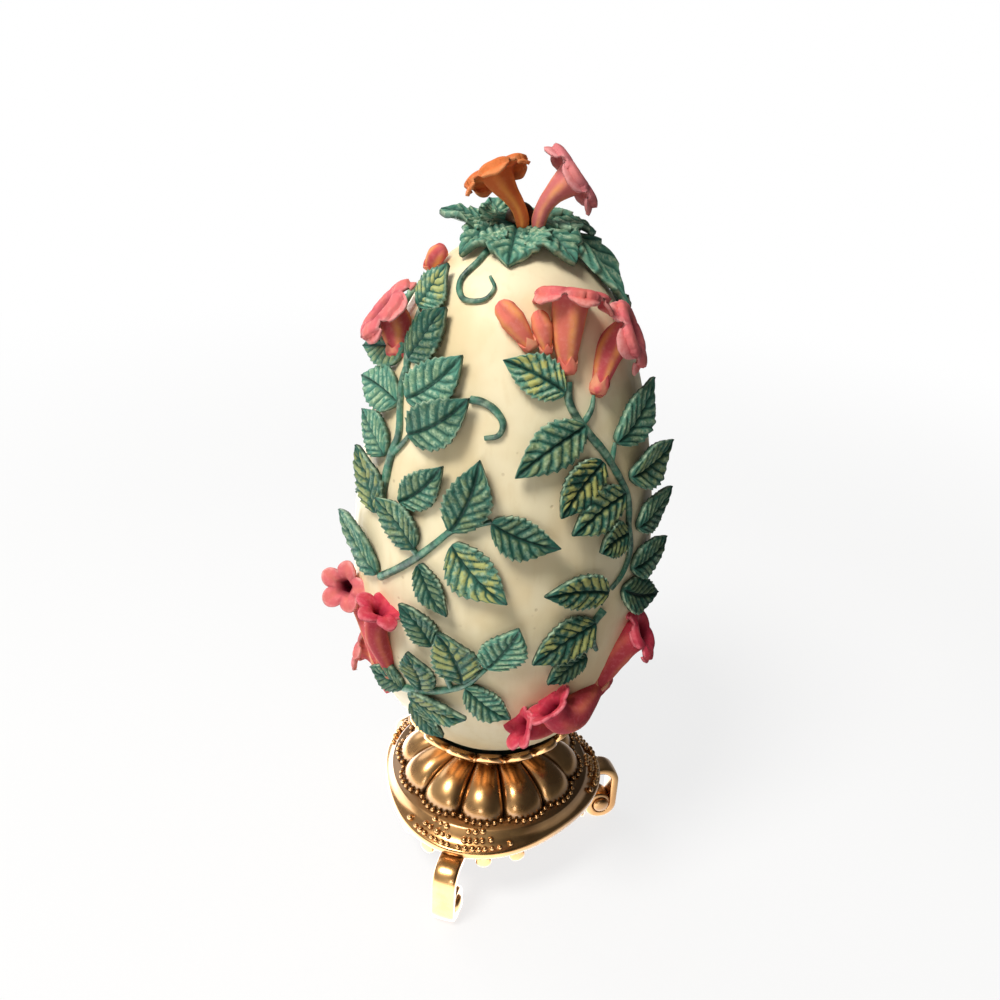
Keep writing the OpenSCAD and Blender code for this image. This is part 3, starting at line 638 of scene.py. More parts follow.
FELT = PlainMatter("green_felt")
RUBBER = PlainMatter("plug_rubber", linear(26, 26, 26), linear(38, 37, 36), 0.0, 0.55, 0.75, 900.0, 0.05 * MM)
BRONZE = PlainMatter("dark_bronze", linear(96, 62, 36), linear(60, 38, 24), 0.7, 0.32, 0.5, 500.0, 0.12 * MM)
GOLD = Gilding()
CREAM = CreamPlaster()
LEAF = LeafPaint()
STEM = StemPaint()


# The egg's form and what lies on it


@dataclass(frozen=True)
class EggForm:
    """The egg's outline, on which the relief is laid out by azimuth and percent of height."""

    width: float = 58 * MM
    height: float = 109 * MM
    taper: float = 0.15
    fullness: float = 0.12
    shoulder: float = 0.1
    base_z: float = 29.4 * MM

    def radius(self, up: Array) -> Array:
        """Returns the radius at a height in percent."""
        t = np.clip(np.asarray(up, float) / 50 - 1, -1, 1)
        form = 1 - self.taper * t + self.fullness * t * t + self.shoulder * t ** 3
        return self.width / 2 * np.sqrt(1 - t * t) * form

    def slope(self, up: Array) -> Array:
        """Returns the change of the radius per metre of height."""
        step = 0.05
        return (self.radius(up + step) - self.radius(up - step)) / (2 * step * self.height / 100)

    def point(self, az: Array, up: Array, out: Array) -> Array:
        """Finds points off the egg's skin.

        Args:
            az: Azimuths in degrees from the front.
            up: Heights in percent.
            out: Distances off the skin in metres.

        Returns:
            Points with x, y and z on the last axis.
        """
        az, up, out = np.broadcast_arrays(np.radians(az), np.asarray(up, float), np.asarray(out, float))
        slope = self.slope(up)
        long = np.sqrt(1 + slope * slope)
        r = self.radius(up) + out / long
        z = self.base_z + up * self.height / 100 - out * slope / long
        return around_axis(r, az, z)

    def outward(self, az: float, up: float) -> Array:
        """Returns the direction straight off the skin."""
        step = self.point(az, up, 1.0 * MM) - self.point(az, up, 0.0)
        return step / np.linalg.norm(step)

    def per_degree(self, up: float) -> float:
        """Returns metres along the skin per degree."""
        return float(self.radius(up)) * math.pi / 180

    def per_percent(self, up: float) -> float:
        """Returns metres along the skin per percent."""
        return self.height / 100 * math.sqrt(1 + float(self.slope(up)) ** 2)


EGG = EggForm()


@dataclass(frozen=True)
class Leaf:
    """One leaf: base and tip as azimuth and percent, width and lift in mm, and its looks."""

    az: float
    up: float
    tip_az: float
    tip_up: float
    width: float
    lift: float = 1.7
    fold: float = 0.16
    bend: float = 0.06
    tone: float = 0.5
    dab: float = 0.15
    ruffle: float = 0.2
    teeth: float = 1.5
    tooth: float = 0.13


class LeafGround(Protocol):
    """What a leaf is laid out on."""

    def place(self, u: Array, x: Array, out: Array) -> Array:
        """Returns points for places along, across and off the ground."""


@dataclass(frozen=True)
class EggGround:
    """Lays a leaf on the egg."""

    leaf: Leaf

    def place(self, u: Array, x: Array, out: Array) -> Array:
        """Finds points of a leaf that lies on the egg.

        Args:
            u: Shares of the leaf's length.
            x: Distances across in metres.
            out: Distances off the egg in metres.

        Returns:
            Points with x, y and z on the last axis.
        """
        leaf = self.leaf
        mid = (leaf.up + leaf.tip_up) / 2
        kd, kp = EGG.per_degree(mid), EGG.per_percent(mid)
        east, north = (leaf.tip_az - leaf.az) * kd, (leaf.tip_up - leaf.up) * kp
        run = math.hypot(east, north)
        side = x + leaf.bend * run * 4 * u * (1 - u)
        az = leaf.az + (leaf.tip_az - leaf.az) * u + north / run / kd * side
        up = leaf.up + (leaf.tip_up - leaf.up) * u - east / run / kp * side
        return EGG.point(az, np.clip(up, 0.5, 99.5), out)


@dataclass(frozen=True)
class CrownGround:
    """Lays a leaf from the crown's collar outwards."""

    az: float
    root_r: float
    root_z: float
    tip_r: float
    tip_z: float
    sag: float

    def place(self, u: Array, x: Array, out: Array) -> Array:
        """Finds points of a leaf that spreads from the crown.

        Args:
            u: Shares of the leaf's length.
            x: Distances across in metres.
            out: Distances above the leaf's underside in metres.

        Returns:
            Points with x, y and z on the last axis.
        """
        r = self.root_r + (self.tip_r - self.root_r) * u
        z = self.root_z + (self.tip_z - self.root_z) * u + self.sag * np.sin(np.pi * u)
        rise = (self.tip_z - self.root_z) + self.sag * np.pi * np.cos(np.pi * u)
        run = self.tip_r - self.root_r
        long = np.sqrt(rise * rise + run * run)
        r, z = r - out * rise / long, z + out * run / long
        return turned(np.stack(np.broadcast_arrays(x, -r, z), -1), self.az)


@dataclass(frozen=True)
class LeafModel:
    """Shapes a leaf: serrated edge, sunk midrib, side veins and quilted cells between them."""

    rows: int = 60
    columns: int = 31
    veins: float = 6.5
    thick: float = 1.15 * MM
    gap: float = 0.15 * MM
    quilt: float = 0.5 * MM
    rib: float = 0.3 * MM
    groove: float = 0.42 * MM
    hatching: float = 0.05 * MM
    notch: float = 0.2 * MM

    def build(self, draft: Draft, ground: LeafGround, leaf: Leaf, seed: int) -> None:
        """Adds one leaf to a draft.

        Args:
            draft: The draft that takes it.
            ground: What the leaf is laid out on.
            leaf: The leaf's sizes and looks.
            seed: Number that sets its small irregularities.
        """
        dice = np.random.default_rng(seed)
        phase = dice.uniform(0, 6.28, 4)
        lean = dice.uniform(-0.12, 0.12)
        u = (np.arange(1, self.rows) / self.rows)[:, None]
        v = np.linspace(-1, 1, self.columns)[None, :]
        wide = np.abs(v)
        belly = np.sin(np.pi * u ** 0.8)
        ends = np.clip(belly * 1.7, 0, 1)
        offset = 0.45 * (v > 0)
        branch = (u * 1.1 - 0.26 * wide ** 1.2) * self.veins + offset + 0.1 * np.sin(3 * v + phase[3])
        tooth = ((u * 1.1 - 0.26) * self.veins * leaf.teeth + offset) % 1.0
        outline = 1 + leaf.tooth * (tooth ** 1.4 - 0.42) * ends
        half = leaf.width * MM / 2 * belly ** (0.72 + 0.3 * u) * outline
        x = half * v
        near = np.abs((branch % 1.0) - 0.5) * 2
        midrib = np.exp(-(x / self.rib) ** 2)
        side_vein = np.exp(-(near / 0.19) ** 2) * smooth(1.04, 0.88, wide) * ends
        cell = np.sin(np.pi / 2 * near) ** 0.7 * (1 - midrib) * smooth(1.06, 0.74, wide) * ends
        hatch = np.cos(6 * np.pi * branch) * cell * self.hatching
        wobble = np.sin(5.2 * u + phase[0] + 1.6 * v) * np.cos(2.4 * v + phase[1]) * leaf.ruffle * MM
        wave = np.sin(9 * u + phase[2] + 2 * (v > 0)) * wide ** 2 * leaf.ruffle * 1.3 * MM
        curl = (leaf.fold * (1 + 0.5 * np.sin(4 * u + phase[2])) * wide ** 1.7 + lean * v) * half + wave
        low = self.gap + leaf.lift * MM * u ** 2
        arch = self.thick * (0.62 + 0.38 * np.sqrt(np.clip(1 - 0.9 * v * v, 0, 1)))
        top = low + arch + self.quilt * cell + hatch - self.groove * midrib * ends + (wobble + curl) * ends
        top = top + self.notch * (tooth - 0.5) * smooth(0.7, 1, wide) * ends
        keel = np.maximum(low + 0.05 * MM + curl * ends * 0.8, 0.05 * MM)
        below_x = np.concatenate([half[:, -1:], half[:, :1] * 0, -half[:, :1]], 1) * 0.93
        below_out = np.concatenate([keel[:, -1:], low, keel[:, :1]], 1)
        rings = np.concatenate([ground.place(u, x, top), ground.place(u, below_x, below_out)], 1)
        spare = np.zeros((self.rows - 1, 3))
        # The underside is marked for painted shade.
        under = np.concatenate([np.zeros_like(x), spare + 1], 1)
        nothing, middle = np.array(0.0), self.gap + self.thick * 0.5
        start = ground.place(nothing, nothing, np.array(middle))
        end = ground.place(np.array(1.0), nothing, np.array(middle + leaf.lift * MM))
        draft.loft(rings, start, end, {
            "vein": np.concatenate([np.maximum(midrib, side_vein * 0.85), spare], 1),
            "cell": np.concatenate([cell, spare], 1),
            "rim": np.concatenate([smooth(0.88, 0.99, wide) + x * 0, spare + 0.5], 1),
            "tone": leaf.tone + dice.uniform(-0.16, 0.16),
            "dab": leaf.dab,
            "under": under * 0.8,
        })


@dataclass(frozen=True)
class TubePath:
    """A curve in space with a frame at every point, for flowers and buds."""

    start: Array
    leave: Array
    arrive: Array
    end: Array
    hint: Array

    def frames(self, shares: Array) -> tuple[Array, Array, Array, Array]:
        """Finds points and frames along the curve.

        Args:
            shares: Shares of the curve's length, rising.

        Returns:
            Points, first and second side directions, and directions along.
        """
        t = np.asarray(shares, float)[:, None]
        points = ((1 - t) ** 3 * self.start + 3 * t * (1 - t) ** 2 * self.leave
                  + 3 * t * t * (1 - t) * self.arrive + t ** 3 * self.end)
        tangent = (3 * (1 - t) ** 2 * (self.leave - self.start) + 6 * t * (1 - t) * (self.arrive - self.leave)
                   + 3 * t * t * (self.end - self.arrive))
        tangent /= np.linalg.norm(tangent, axis=1, keepdims=True)
        first = self.hint - tangent * (tangent @ self.hint)[:, None]
        first /= np.linalg.norm(first, axis=1, keepdims=True)
        return points, first, np.cross(tangent, first), tangent


@dataclass(frozen=True)
class Bloom:
    """A trumpet flower: base and mouth as azimuth and percent, and its looks.

    The distances off the egg (stand for the mouth, foot_off for the base), the mouth's radius and
    the lobes' length are in mm. facing is the mouth's azimuth and elevation, curl how far the lobes
    turn back, both in degrees, and full the tube's radius as a share of the mouth's.
    """

    az: float
    up: float
    mouth_az: float
    mouth_up: float
    stand: float
    mouth: float
    lobe: float
    facing: tuple[float, float]
    petals: Petals = Petals.CORAL
    curl: float = 125.0
    full: float = 0.72
    foot_off: float = 0.7

    def path(self) -> TubePath:
        """Returns the curve that the tube follows."""
        start = EGG.point(self.az, self.up, self.foot_off * MM)
        end = EGG.point(self.mouth_az, self.mouth_up, self.stand * MM)
        reach = np.linalg.norm(end - start)
        arrive = heading(*self.facing)
        lie = EGG.point(self.mouth_az, self.mouth_up, self.foot_off * MM) - start
        lie /= np.linalg.norm(lie)
        return TubePath(start, start + lie * reach * 0.38, end - arrive * reach * 0.36, end,
                        EGG.outward(self.az, self.up))


@dataclass(frozen=True)
class BloomModel:
    """Shapes trumpets, buds and calyxes round a curve."""

    around: int = 100
    lobes: int = 5
    wall: float = 1.05 * MM
    tube_rows: int = 17
    lobe_rows: int = 12
    hollow_from: int = 13
    first_lean: float = 42.0

    @staticmethod
    def spokes(theta: Array, first: Array, second: Array) -> Array:
        """Returns the directions at angles between two side directions."""
        return first * np.cos(theta)[None, :, None] + second * np.sin(theta)[None, :, None]

    def trumpet(self, draft: Draft, path: TubePath, mouth: float, lobe: float, curl: float, seed: int,
                foot: float, waist: float) -> None:
        """Adds a trumpet with rolled lobes, painted shade between them, and a shallow throat painted dark as
        its colour and as the shade of a deep throat.

        Args:
            draft: The draft that takes it.
            path: The curve of its tube.
            mouth: Radius of the mouth in metres.
            lobe: Length of a lobe in metres.
            curl: How far the lobes turn back, in degrees.
            seed: Number that sets its small irregularities.
            foot: Radius at the base as a share of the mouth's.
            waist: Radius halfway as a share of the mouth's.
        """
        dice = np.random.default_rng(seed)
        theta = circle(self.around)
        phase = theta * self.lobes / (2 * np.pi)
        beside = phase - np.round(phase)
        number = np.round(phase).astype(int) % self.lobes
        longer = dice.uniform(0.86, 1.14, self.lobes)[number]
        rolled = dice.uniform(0.82, 1.12, self.lobes)[number]
        swell = np.cos(np.pi * beside) ** 0.8
        reach = lobe * (0.52 + 0.48 * swell) * (1 + (longer - 1) * swell)
        s = np.linspace(0, 1, self.tube_rows)
        form = np.interp(s, [0, 0.12, 0.35, 0.6, 0.8, 1],
                         [foot, foot * 1.25, waist * 0.82, waist, 0.46 + waist * 0.55, 1])
        points, first, second, tangent = path.frames(s)
        ridged = 1 + 0.035 * np.cos(self.lobes * theta)[None] * smooth(0.3, 1, s)[:, None]
        radius = mouth * form[:, None] * ridged
        radial = self.spokes(theta, first[:, None], second[:, None])
        tube = points[:, None] + radial * radius[..., None]
        q = np.linspace(0, 1, self.lobe_rows + 1)[1:]
        turn = curl * (0.7 + 0.3 * swell * rolled) - self.first_lean
        lean = np.radians(self.first_lean + turn[None] * q[:, None] ** 0.9)
        step = reach[None] / self.lobe_rows
        r = mouth * ridged[-1][None] + np.cumsum(np.sin(lean) * step, 0)
        z = np.cumsum(np.cos(lean) * step, 0)
        waves = np.sin(2 * self.lobes * theta + dice.uniform(0, 6.28))
        ruffle = waves[None] * q[:, None] ** 2 * 0.025 * lobe
        crease = -np.exp(-(beside / 0.07) ** 2)[None] * q[:, None] * 0.03 * lobe
        z = z + ruffle + crease
        flare = points[-1] + radial[-1][None] * r[..., None] + tangent[-1] * z[..., None]
        outer = np.concatenate([tube, flare])
        along = np.concatenate([s, 1 + q * 0.4])
        pitch = np.gradient(outer, axis=0)
        sweep = np.roll(outer, -1, 1) - np.roll(outer, 1, 1)
        inward = np.cross(pitch, sweep)
        inward /= np.linalg.norm(inward, axis=2, keepdims=True) + 1e-12
        centre = np.concatenate([np.broadcast_to(points[:, None], tube.shape),
                                 np.broadcast_to(points[-1] + tangent[-1] * lobe, flare.shape)])
        flip = np.sign(((centre - outer) * inward).sum(2))[:, :, None]
        wall = self.wall * (1 - 0.5 * smooth(1.15, 1.4, along))[:, None, None]
        inner = (outer + inward * flip * wall)[self.hollow_from:][::-1]
        rings = np.concatenate([outer, inner])
        back = along[self.hollow_from:][::-1]
        edge = np.concatenate([smooth(1.25, 1.4, along), smooth(1.3, 1.4, back)])
        # The shallow throat is painted dark, partly its own colour, partly the shade of a deep throat.
        inside = np.concatenate([along * 0, smooth(1.1, 0.94, back)])
        stripe = (0.5 + 0.5 * np.cos(self.lobes * theta + 0.6)) ** 2
        # Painted shade in the creases between lobes.
        fold = np.exp(-((np.abs(beside) - 0.5) / 0.09) ** 2)
        depth = np.concatenate([along, back])[:, None]
        draft.loft(rings, points[0] - tangent[0] * 0.1 * MM, points[self.hollow_from], {
            "along": depth, "inside": inside[:, None], "edge": edge[:, None], "stripe": stripe,
            "fold": fold * smooth(0.9, 1.15, depth) * 0.8,
        })

    def bud(self, draft: Draft, path: TubePath, half: float, seed: int) -> None:
        """Adds a closed bud with folded petals.

        Args:
            draft: The draft that takes it.
            path: The curve that it follows.
            half: Its greatest radius in metres.
            seed: Number that sets its small irregularities.
        """
        dice = np.random.default_rng(seed)
        theta = circle(40)
        s = np.linspace(0.0, 1, 26)[1:-1]
        form = np.interp(s, [0, 0.1, 0.3, 0.6, 0.85, 0.95, 1], [0.3, 0.45, 0.72, 1, 0.86, 0.55, 0.12])
        points, first, second, _ = path.frames(s)
        twist = theta[None] + 0.9 * s[:, None] + dice.uniform(0, 6.28)
        ridge = 1 + 0.06 * np.cos(4 * twist) * smooth(0.2, 0.8, s)[:, None]
        radial = self.spokes(theta, first[:, None], second[:, None])
        rings = points[:, None] + radial * (half * form[:, None] * ridge)[..., None]
        ends = path.frames(np.array([0.0, 1.0]))[0]
        draft.loft(rings, ends[0], ends[1], {
            "along": s[:, None] * 0.95,
            "stripe": (0.5 + 0.5 * np.cos(4 * twist + 0.8)) ** 2,
            # Painted shade in the bud's folds.
            "fold": np.exp(-((np.cos(4 * twist) + 1) / 0.25) ** 2) * smooth(0.3, 0.9, s)[:, None] * 0.6,
        })

    def calyx(self, draft: Draft, path: TubePath, radius: float, long: float, points_up: int = 5) -> None:
        """Adds the pointed cup at a flower's base.

        Args:
            draft: The draft that takes it.
            path: The flower's curve.
            radius: The calyx's radius in metres.
            long: Its length as a share of the curve's.
            points_up: Number of its points.
        """
        theta = circle(60)
        phase = theta * points_up / (2 * np.pi)
        peak = 1 - 2 * np.abs(phase - np.round(phase))
        q = np.linspace(0, 1, 9)
        share = q[:, None] * long * (0.45 + 0.55 * peak[None] ** 1.3)
        order = np.linspace(0, long, 40)
        spots, first, second, _ = path.frames(order)

        def read(rows: Array) -> Array:
            """Reads points or directions along the curve at every share."""
            return np.stack([np.interp(share, order, rows[:, k]) for k in range(3)], -1)

        centre, side, other = read(spots), read(first), read(second)
        swell = radius * np.interp(q, [0, 0.25, 0.6, 1], [0.72, 1.0, 1.08, 1.16])[:, None]
        radial = self.spokes(theta, side, other)
        outer = centre + radial * swell[..., None]
        inner = (centre + radial * (swell - 0.35 * MM)[..., None])[::-1]
        rings = np.concatenate([outer, inner])
        draft.loft(rings, spots[0], spots[1], {"calyx": 1.0})


LEAF_MODEL = LeafModel()
BLOOM_MODEL = BloomModel()


# Geometry Nodes


class Tree:
    """A geometry tree with named inputs, used through a modifier and then made plain mesh.

    inputs lists the name, kind and first value of each input, without the material's.
    """

    title = "tree"
    takes_geometry = True
    inputs: list[tuple[str, str, float]] = []

    def __init__(self) -> None:
        """Makes the tree with its sockets and fills it."""
        self.group = bpy.data.node_groups.new(self.title, "GeometryNodeTree")
        self.group.is_modifier = True
        self.sockets: dict[str, str] = {}
        face = self.group.interface
        face.new_socket("Geometry", in_out="OUTPUT", socket_type="NodeSocketGeometry")
        if self.takes_geometry:
            face.new_socket("Geometry", in_out="INPUT", socket_type="NodeSocketGeometry")
        for name, kind, value in self.inputs:
            socket = face.new_socket(name, in_out="INPUT", socket_type="NodeSocket" + kind)
            socket.default_value = value
            self.sockets[name] = socket.identifier
        socket = face.new_socket("Material", in_out="INPUT", socket_type="NodeSocketMaterial")
        self.sockets["Material"] = socket.identifier
        self.graph = Graph(self.group)
        self.source = self.graph.add("NodeGroupInput")
        made = self.fill()
        realised = self.graph.add("GeometryNodeRealizeInstances", {"Geometry": made})
        shaded = self.graph.add("GeometryNodeSetShadeSmooth", {"Geometry": realised.outputs[0]})
        painted = self.graph.add("GeometryNodeSetMaterial", {
            "Geometry": shaded.outputs[0], "Material": self.source.outputs["Material"]})
        self.graph.add("NodeGroupOutput", {"Geometry": painted.outputs[0]})

    def fill(self) -> Socket:
        """Adds the tree's own nodes and returns the socket with the geometry."""
        raise NotImplementedError

    def run(self, obj: bpy.types.Object, values: dict[str, object]) -> None:
        """Runs the tree on an object and leaves plain mesh.

        Args:
            obj: The object, whose mesh the tree takes.
            values: Input values by name.
        """
        modifier = obj.modifiers.new(self.title, "NODES")
        modifier.node_group = self.group
        for name, value in values.items():
            modifier[self.sockets[name]] = value
        ready = obj.evaluated_get(bpy.context.evaluated_depsgraph_get())
        mesh = bpy.data.meshes.new_from_object(ready)
        obj.modifiers.remove(modifier)
        obj.data = mesh


class EggTree(Tree):
    """Turns a grid into the egg's closed skin, slightly uneven as a hand-finished cast is."""

    title = "egg_skin_tree"
    takes_geometry = False
    inputs = [("Width", "Float", EGG.width), ("Height", "Float", EGG.height), ("Taper", "Float", EGG.taper),
              ("Fullness", "Float", EGG.fullness), ("Shoulder", "Float", EGG.shoulder),
              ("Base", "Float", EGG.base_z), ("Unevenness", "Float", 0.22 * MM)]

    def fill(self) -> Socket:
        """Adds the tree's own nodes."""
        g, given = self.graph, self.source.outputs
        grid = g.add("GeometryNodeMeshGrid", {
            "Size X": 1.0, "Size Y": 1.0, "Vertices X": 257, "Vertices Y": 193})
        spot = g.add("ShaderNodeSeparateXYZ", {0: g.add("GeometryNodeInputPosition").outputs[0]})
        angle = g.times(spot.outputs[0], 2 * math.pi)
        bow = g.times(spot.outputs[1], math.pi)
        t = g.math("SINE", bow)
        square = g.times(t, t)
        form = g.math("SUBTRACT", 1.0, g.times(t, given["Taper"]))
        form = g.plus(form, g.times(square, given["Fullness"]))
        form = g.plus(form, g.times(g.times(square, t), given["Shoulder"]))
        half = g.times(given["Width"], 0.5)
        r = g.times(g.times(half, g.math("COSINE", bow)), form)
        rise = g.times(g.plus(t, 1.0), g.times(given["Height"], 0.5))
        place = g.add("ShaderNodeCombineXYZ", {
            0: g.times(r, g.math("SINE", angle)),
            1: g.times(r, g.times(g.math("COSINE", angle), -1.0)),
            2: g.plus(rise, given["Base"])})
        shaped = g.add("GeometryNodeSetPosition", {"Geometry": grid.outputs[0], "Position": place.outputs[0]})
        closed = g.add("GeometryNodeMergeByDistance", {"Geometry": shaped.outputs[0], "Distance": 0.00001})
        cloud = g.add("ShaderNodeTexNoise", {"Scale": 70.0, "Detail": 2.0})
        off = g.times(g.math("SUBTRACT", cloud.outputs[0], 0.5), given["Unevenness"])
        normal = g.add("GeometryNodeInputNormal").outputs[0]
        push = g.add("ShaderNodeVectorMath", {0: normal}, operation="SCALE")
        g.feed(push.inputs["Scale"], off)
        worn = g.add("GeometryNodeSetPosition", {"Geometry": closed.outputs[0], "Offset": push.outputs[0]})
        return worn.outputs[0]


class VineTree(Tree):
    """Sweeps a ribbed stem along a line of points that carry their own radius."""

    title = "vine_tree"
    inputs = [("Step", "Float", 0.4 * MM), ("Rib spacing", "Float", 1.1 * MM), ("Rib depth", "Float", 0.015),
              ("Knots", "Float", 0.5)]

    def fill(self) -> Socket:
        """Adds the tree's own nodes."""
        g, given = self.graph, self.source.outputs
        line = g.add("GeometryNodeMeshToCurve", {"Mesh": given["Geometry"]})
        fine = g.add("GeometryNodeResampleCurve", {"Curve": line.outputs[0], "Length": given["Step"]},
                     mode="LENGTH")
        thick = g.add("GeometryNodeInputNamedAttribute", {"Name": "thick"}, data_type="FLOAT")
        done = g.add("GeometryNodeSplineParameter").outputs["Length"]
        turn = g.times(g.math("DIVIDE", done, given["Rib spacing"]), 2 * math.pi)
        wave = g.math("SINE", turn)
        knot = g.add("ShaderNodeTexNoise", {"Scale": 240.0, "Detail": 2.0}).outputs[0]
        bumpy = g.math("MULTIPLY_ADD", g.math("SUBTRACT", knot, 0.5), given["Knots"], 1.0)
        form = g.math("MULTIPLY_ADD", wave, given["Rib depth"], bumpy)
        radius = g.times(thick.outputs["Attribute"], form)
        kept = g.add("GeometryNodeStoreNamedAttribute", {
            "Geometry": fine.outputs[0], "Name": "rib", "Value": g.math("MULTIPLY_ADD", wave, 0.5, 0.5)},
            data_type="FLOAT", domain="POINT")
        sized = g.add("GeometryNodeSetCurveRadius", {"Curve": kept.outputs[0], "Radius": radius})
        ring = g.add("GeometryNodeCurvePrimitiveCircle", {"Resolution": 12, "Radius": 1.0}, mode="RADIUS")
        swept = g.add("GeometryNodeCurveToMesh", {
            "Curve": sized.outputs[0], "Profile Curve": ring.outputs[0], "Fill Caps": True})
        if "Scale" in swept.inputs:
            g.feed(swept.inputs["Scale"], g.add("GeometryNodeInputRadius").outputs[0])
        return swept.outputs[0]


class RingTree(Tree):
    """Repeats a mesh evenly round the axis and joins what touches."""

    title = "ring_tree"
    inputs = [("Count", "Int", 12)]

    def fill(self) -> Socket:
        """Adds the tree's own nodes."""
        g, given = self.graph, self.source.outputs
        points = g.add("GeometryNodeMeshLine", {"Count": given["Count"], "Offset": (0.0, 0.0, 0.0)})
        index = g.add("GeometryNodeInputIndex").outputs[0]
        angle = g.times(g.math("DIVIDE", index, given["Count"]), 2 * math.pi)
        turn = g.add("ShaderNodeCombineXYZ", {2: angle})
        copies = g.add("GeometryNodeInstanceOnPoints", {
            "Points": points.outputs[0], "Instance": given["Geometry"], "Rotation": turn.outputs[0]})
        whole = g.add("GeometryNodeRealizeInstances", {"Geometry": copies.outputs[0]})
        return g.add("GeometryNodeMergeByDistance", {
            "Geometry": whole.outputs[0], "Distance": 0.000004}).outputs[0]


class BeadTree(Tree):
    """Sets a bead on every point of a mesh, turned and sized as the point says."""

    title = "bead_tree"
    inputs = [("Bead", "Float", 0.5 * MM), ("Uneven", "Float", 0.12)]

    def fill(self) -> Socket:
        """Adds the tree's own nodes."""
        g, given = self.graph, self.source.outputs
        ball = g.add("GeometryNodeMeshUVSphere", {"Segments": 12, "Rings": 7, "Radius": given["Bead"]})
        turn = g.add("GeometryNodeInputNamedAttribute", {"Name": "turn"}, data_type="FLOAT_VECTOR")
        share = g.add("GeometryNodeInputNamedAttribute", {"Name": "share"}, data_type="FLOAT")
        chance = g.add("FunctionNodeRandomValue", {"Seed": 7}, data_type="FLOAT")
        grow = g.math("MULTIPLY_ADD", g.math("SUBTRACT", chance.outputs[1], 0.5), given["Uneven"], 1.0)
        size = g.times(share.outputs["Attribute"], grow)
        copies = g.add("GeometryNodeInstanceOnPoints", {
            "Points": given["Geometry"], "Instance": ball.outputs[0],
            "Rotation": turn.outputs["Attribute"], "Scale": size})
        return copies.outputs[0]


# The egg's pieces


@dataclass
class Vine:
    """A spray: stems along chart points, and leaves."""

    name: str
    node: str
    stems: list[list[tuple[float, float]]]
    leaves: list[Leaf] = field(default_factory=list)
    half: float = 0.76
    taper: float = 0.55
    seed: int = 1

    def stem_lines(self) -> bpy.types.Mesh:
        """Returns the stems' centre lines, smoothed, with a radius at each point."""
        points, edges, thick = [], [], []
        for number, stem in enumerate(self.stems):
            rows = np.array(stem, float)
            knots = np.arange(len(rows))
            fine = np.linspace(0, len(rows) - 1, (len(rows) - 1) * 8 + 1)
            path = np.stack([self.rounded(knots, rows[:, k], fine) for k in range(2)], 1)
            share = np.linspace(0, 1, len(path))
            size = self.half * MM * (1.0 if number == 0 else 0.72) * (1 - (1 - self.taper) * share ** 2)
            placed = EGG.point(path[:, 0], path[:, 1], 0.45 * MM)
            start = len(points)
            points.extend(placed.tolist())
            thick.extend(size.tolist())
            edges.extend((start + k, start + k + 1) for k in range(len(path) - 1))
        mesh = bpy.data.meshes.new(self.name)
        mesh.from_pydata(points, edges, [])
        mesh.attributes.new("thick", "FLOAT", "POINT").data.foreach_set("value", thick)
        return mesh

    @staticmethod
    def rounded(knots: Array, values: Array, fine: Array) -> Array:
        """Draws a smooth line through values.

        Args:
            knots: Places of the values.
            values: The values.
            fine: Places that are wanted.

        Returns:
            The line at those places.
        """
        slope = np.gradient(values)
        low = np.clip(fine.astype(int), 0, len(knots) - 2)
        t = fine - low
        a, b = values[low], values[low + 1]
        return ((2 * t ** 3 - 3 * t ** 2 + 1) * a + (t ** 3 - 2 * t ** 2 + t) * slope[low]
                + (-2 * t ** 3 + 3 * t ** 2) * b + (t ** 3 - t ** 2) * slope[low + 1])

    def build(self, tree: VineTree) -> None:
        """Builds the stems and leaves as one piece.

        Args:
            tree: The tree that sweeps the stems.
        """
        obj = new_object(self.name, self.stem_lines())
        tree.run(obj, {"Material": STEM.material()})
        if self.leaves:
            draft = Draft()
            for number, leaf in enumerate(self.leaves):
                LEAF_MODEL.build(draft, EggGround(leaf), leaf, self.seed * 50 + number)
            blades = draft.to_object(self.name + "_leaves")
            blades.data.materials.append(LEAF.material())
            join(obj, blades)
        settle_piece(obj, EGG_BODY, (self.node,))


def join(keep: bpy.types.Object, extra: bpy.types.Object) -> None:
    """Joins a second object into the first, materials and painted values kept.

    Args:
        keep: The object that stays.
        extra: The object that goes into it.
    """
    with bpy.context.temp_override(active_object=keep, selected_editable_objects=[keep, extra]):
        bpy.ops.object.join()


@dataclass
class Flower:
    """A trumpet flower on the egg with its calyx."""

    name: str
    node: str
    bloom: Bloom
    seed: int = 3
    beside: Flower | Bud | None = None

    def shape(self, draft: Draft) -> None:
        """Adds the flower, and what grows beside it, to a draft."""
        path = self.bloom.path()
        mouth = self.bloom.mouth * MM
        BLOOM_MODEL.trumpet(draft, path, mouth, self.bloom.lobe * MM, self.bloom.curl, self.seed,
                            0.42 * self.bloom.full, self.bloom.full)
        BLOOM_MODEL.calyx(draft, path, mouth * 0.6 * self.bloom.full, 0.26)
        if self.beside:
            self.beside.shape(draft)

    def build(self) -> None:
        """Builds the flower as one piece."""
        draft = Draft()
        self.shape(draft)
        obj = draft.to_object(self.name)
        settle_piece(obj, EGG_BODY, (self.node,), self.bloom.petals.value.material())


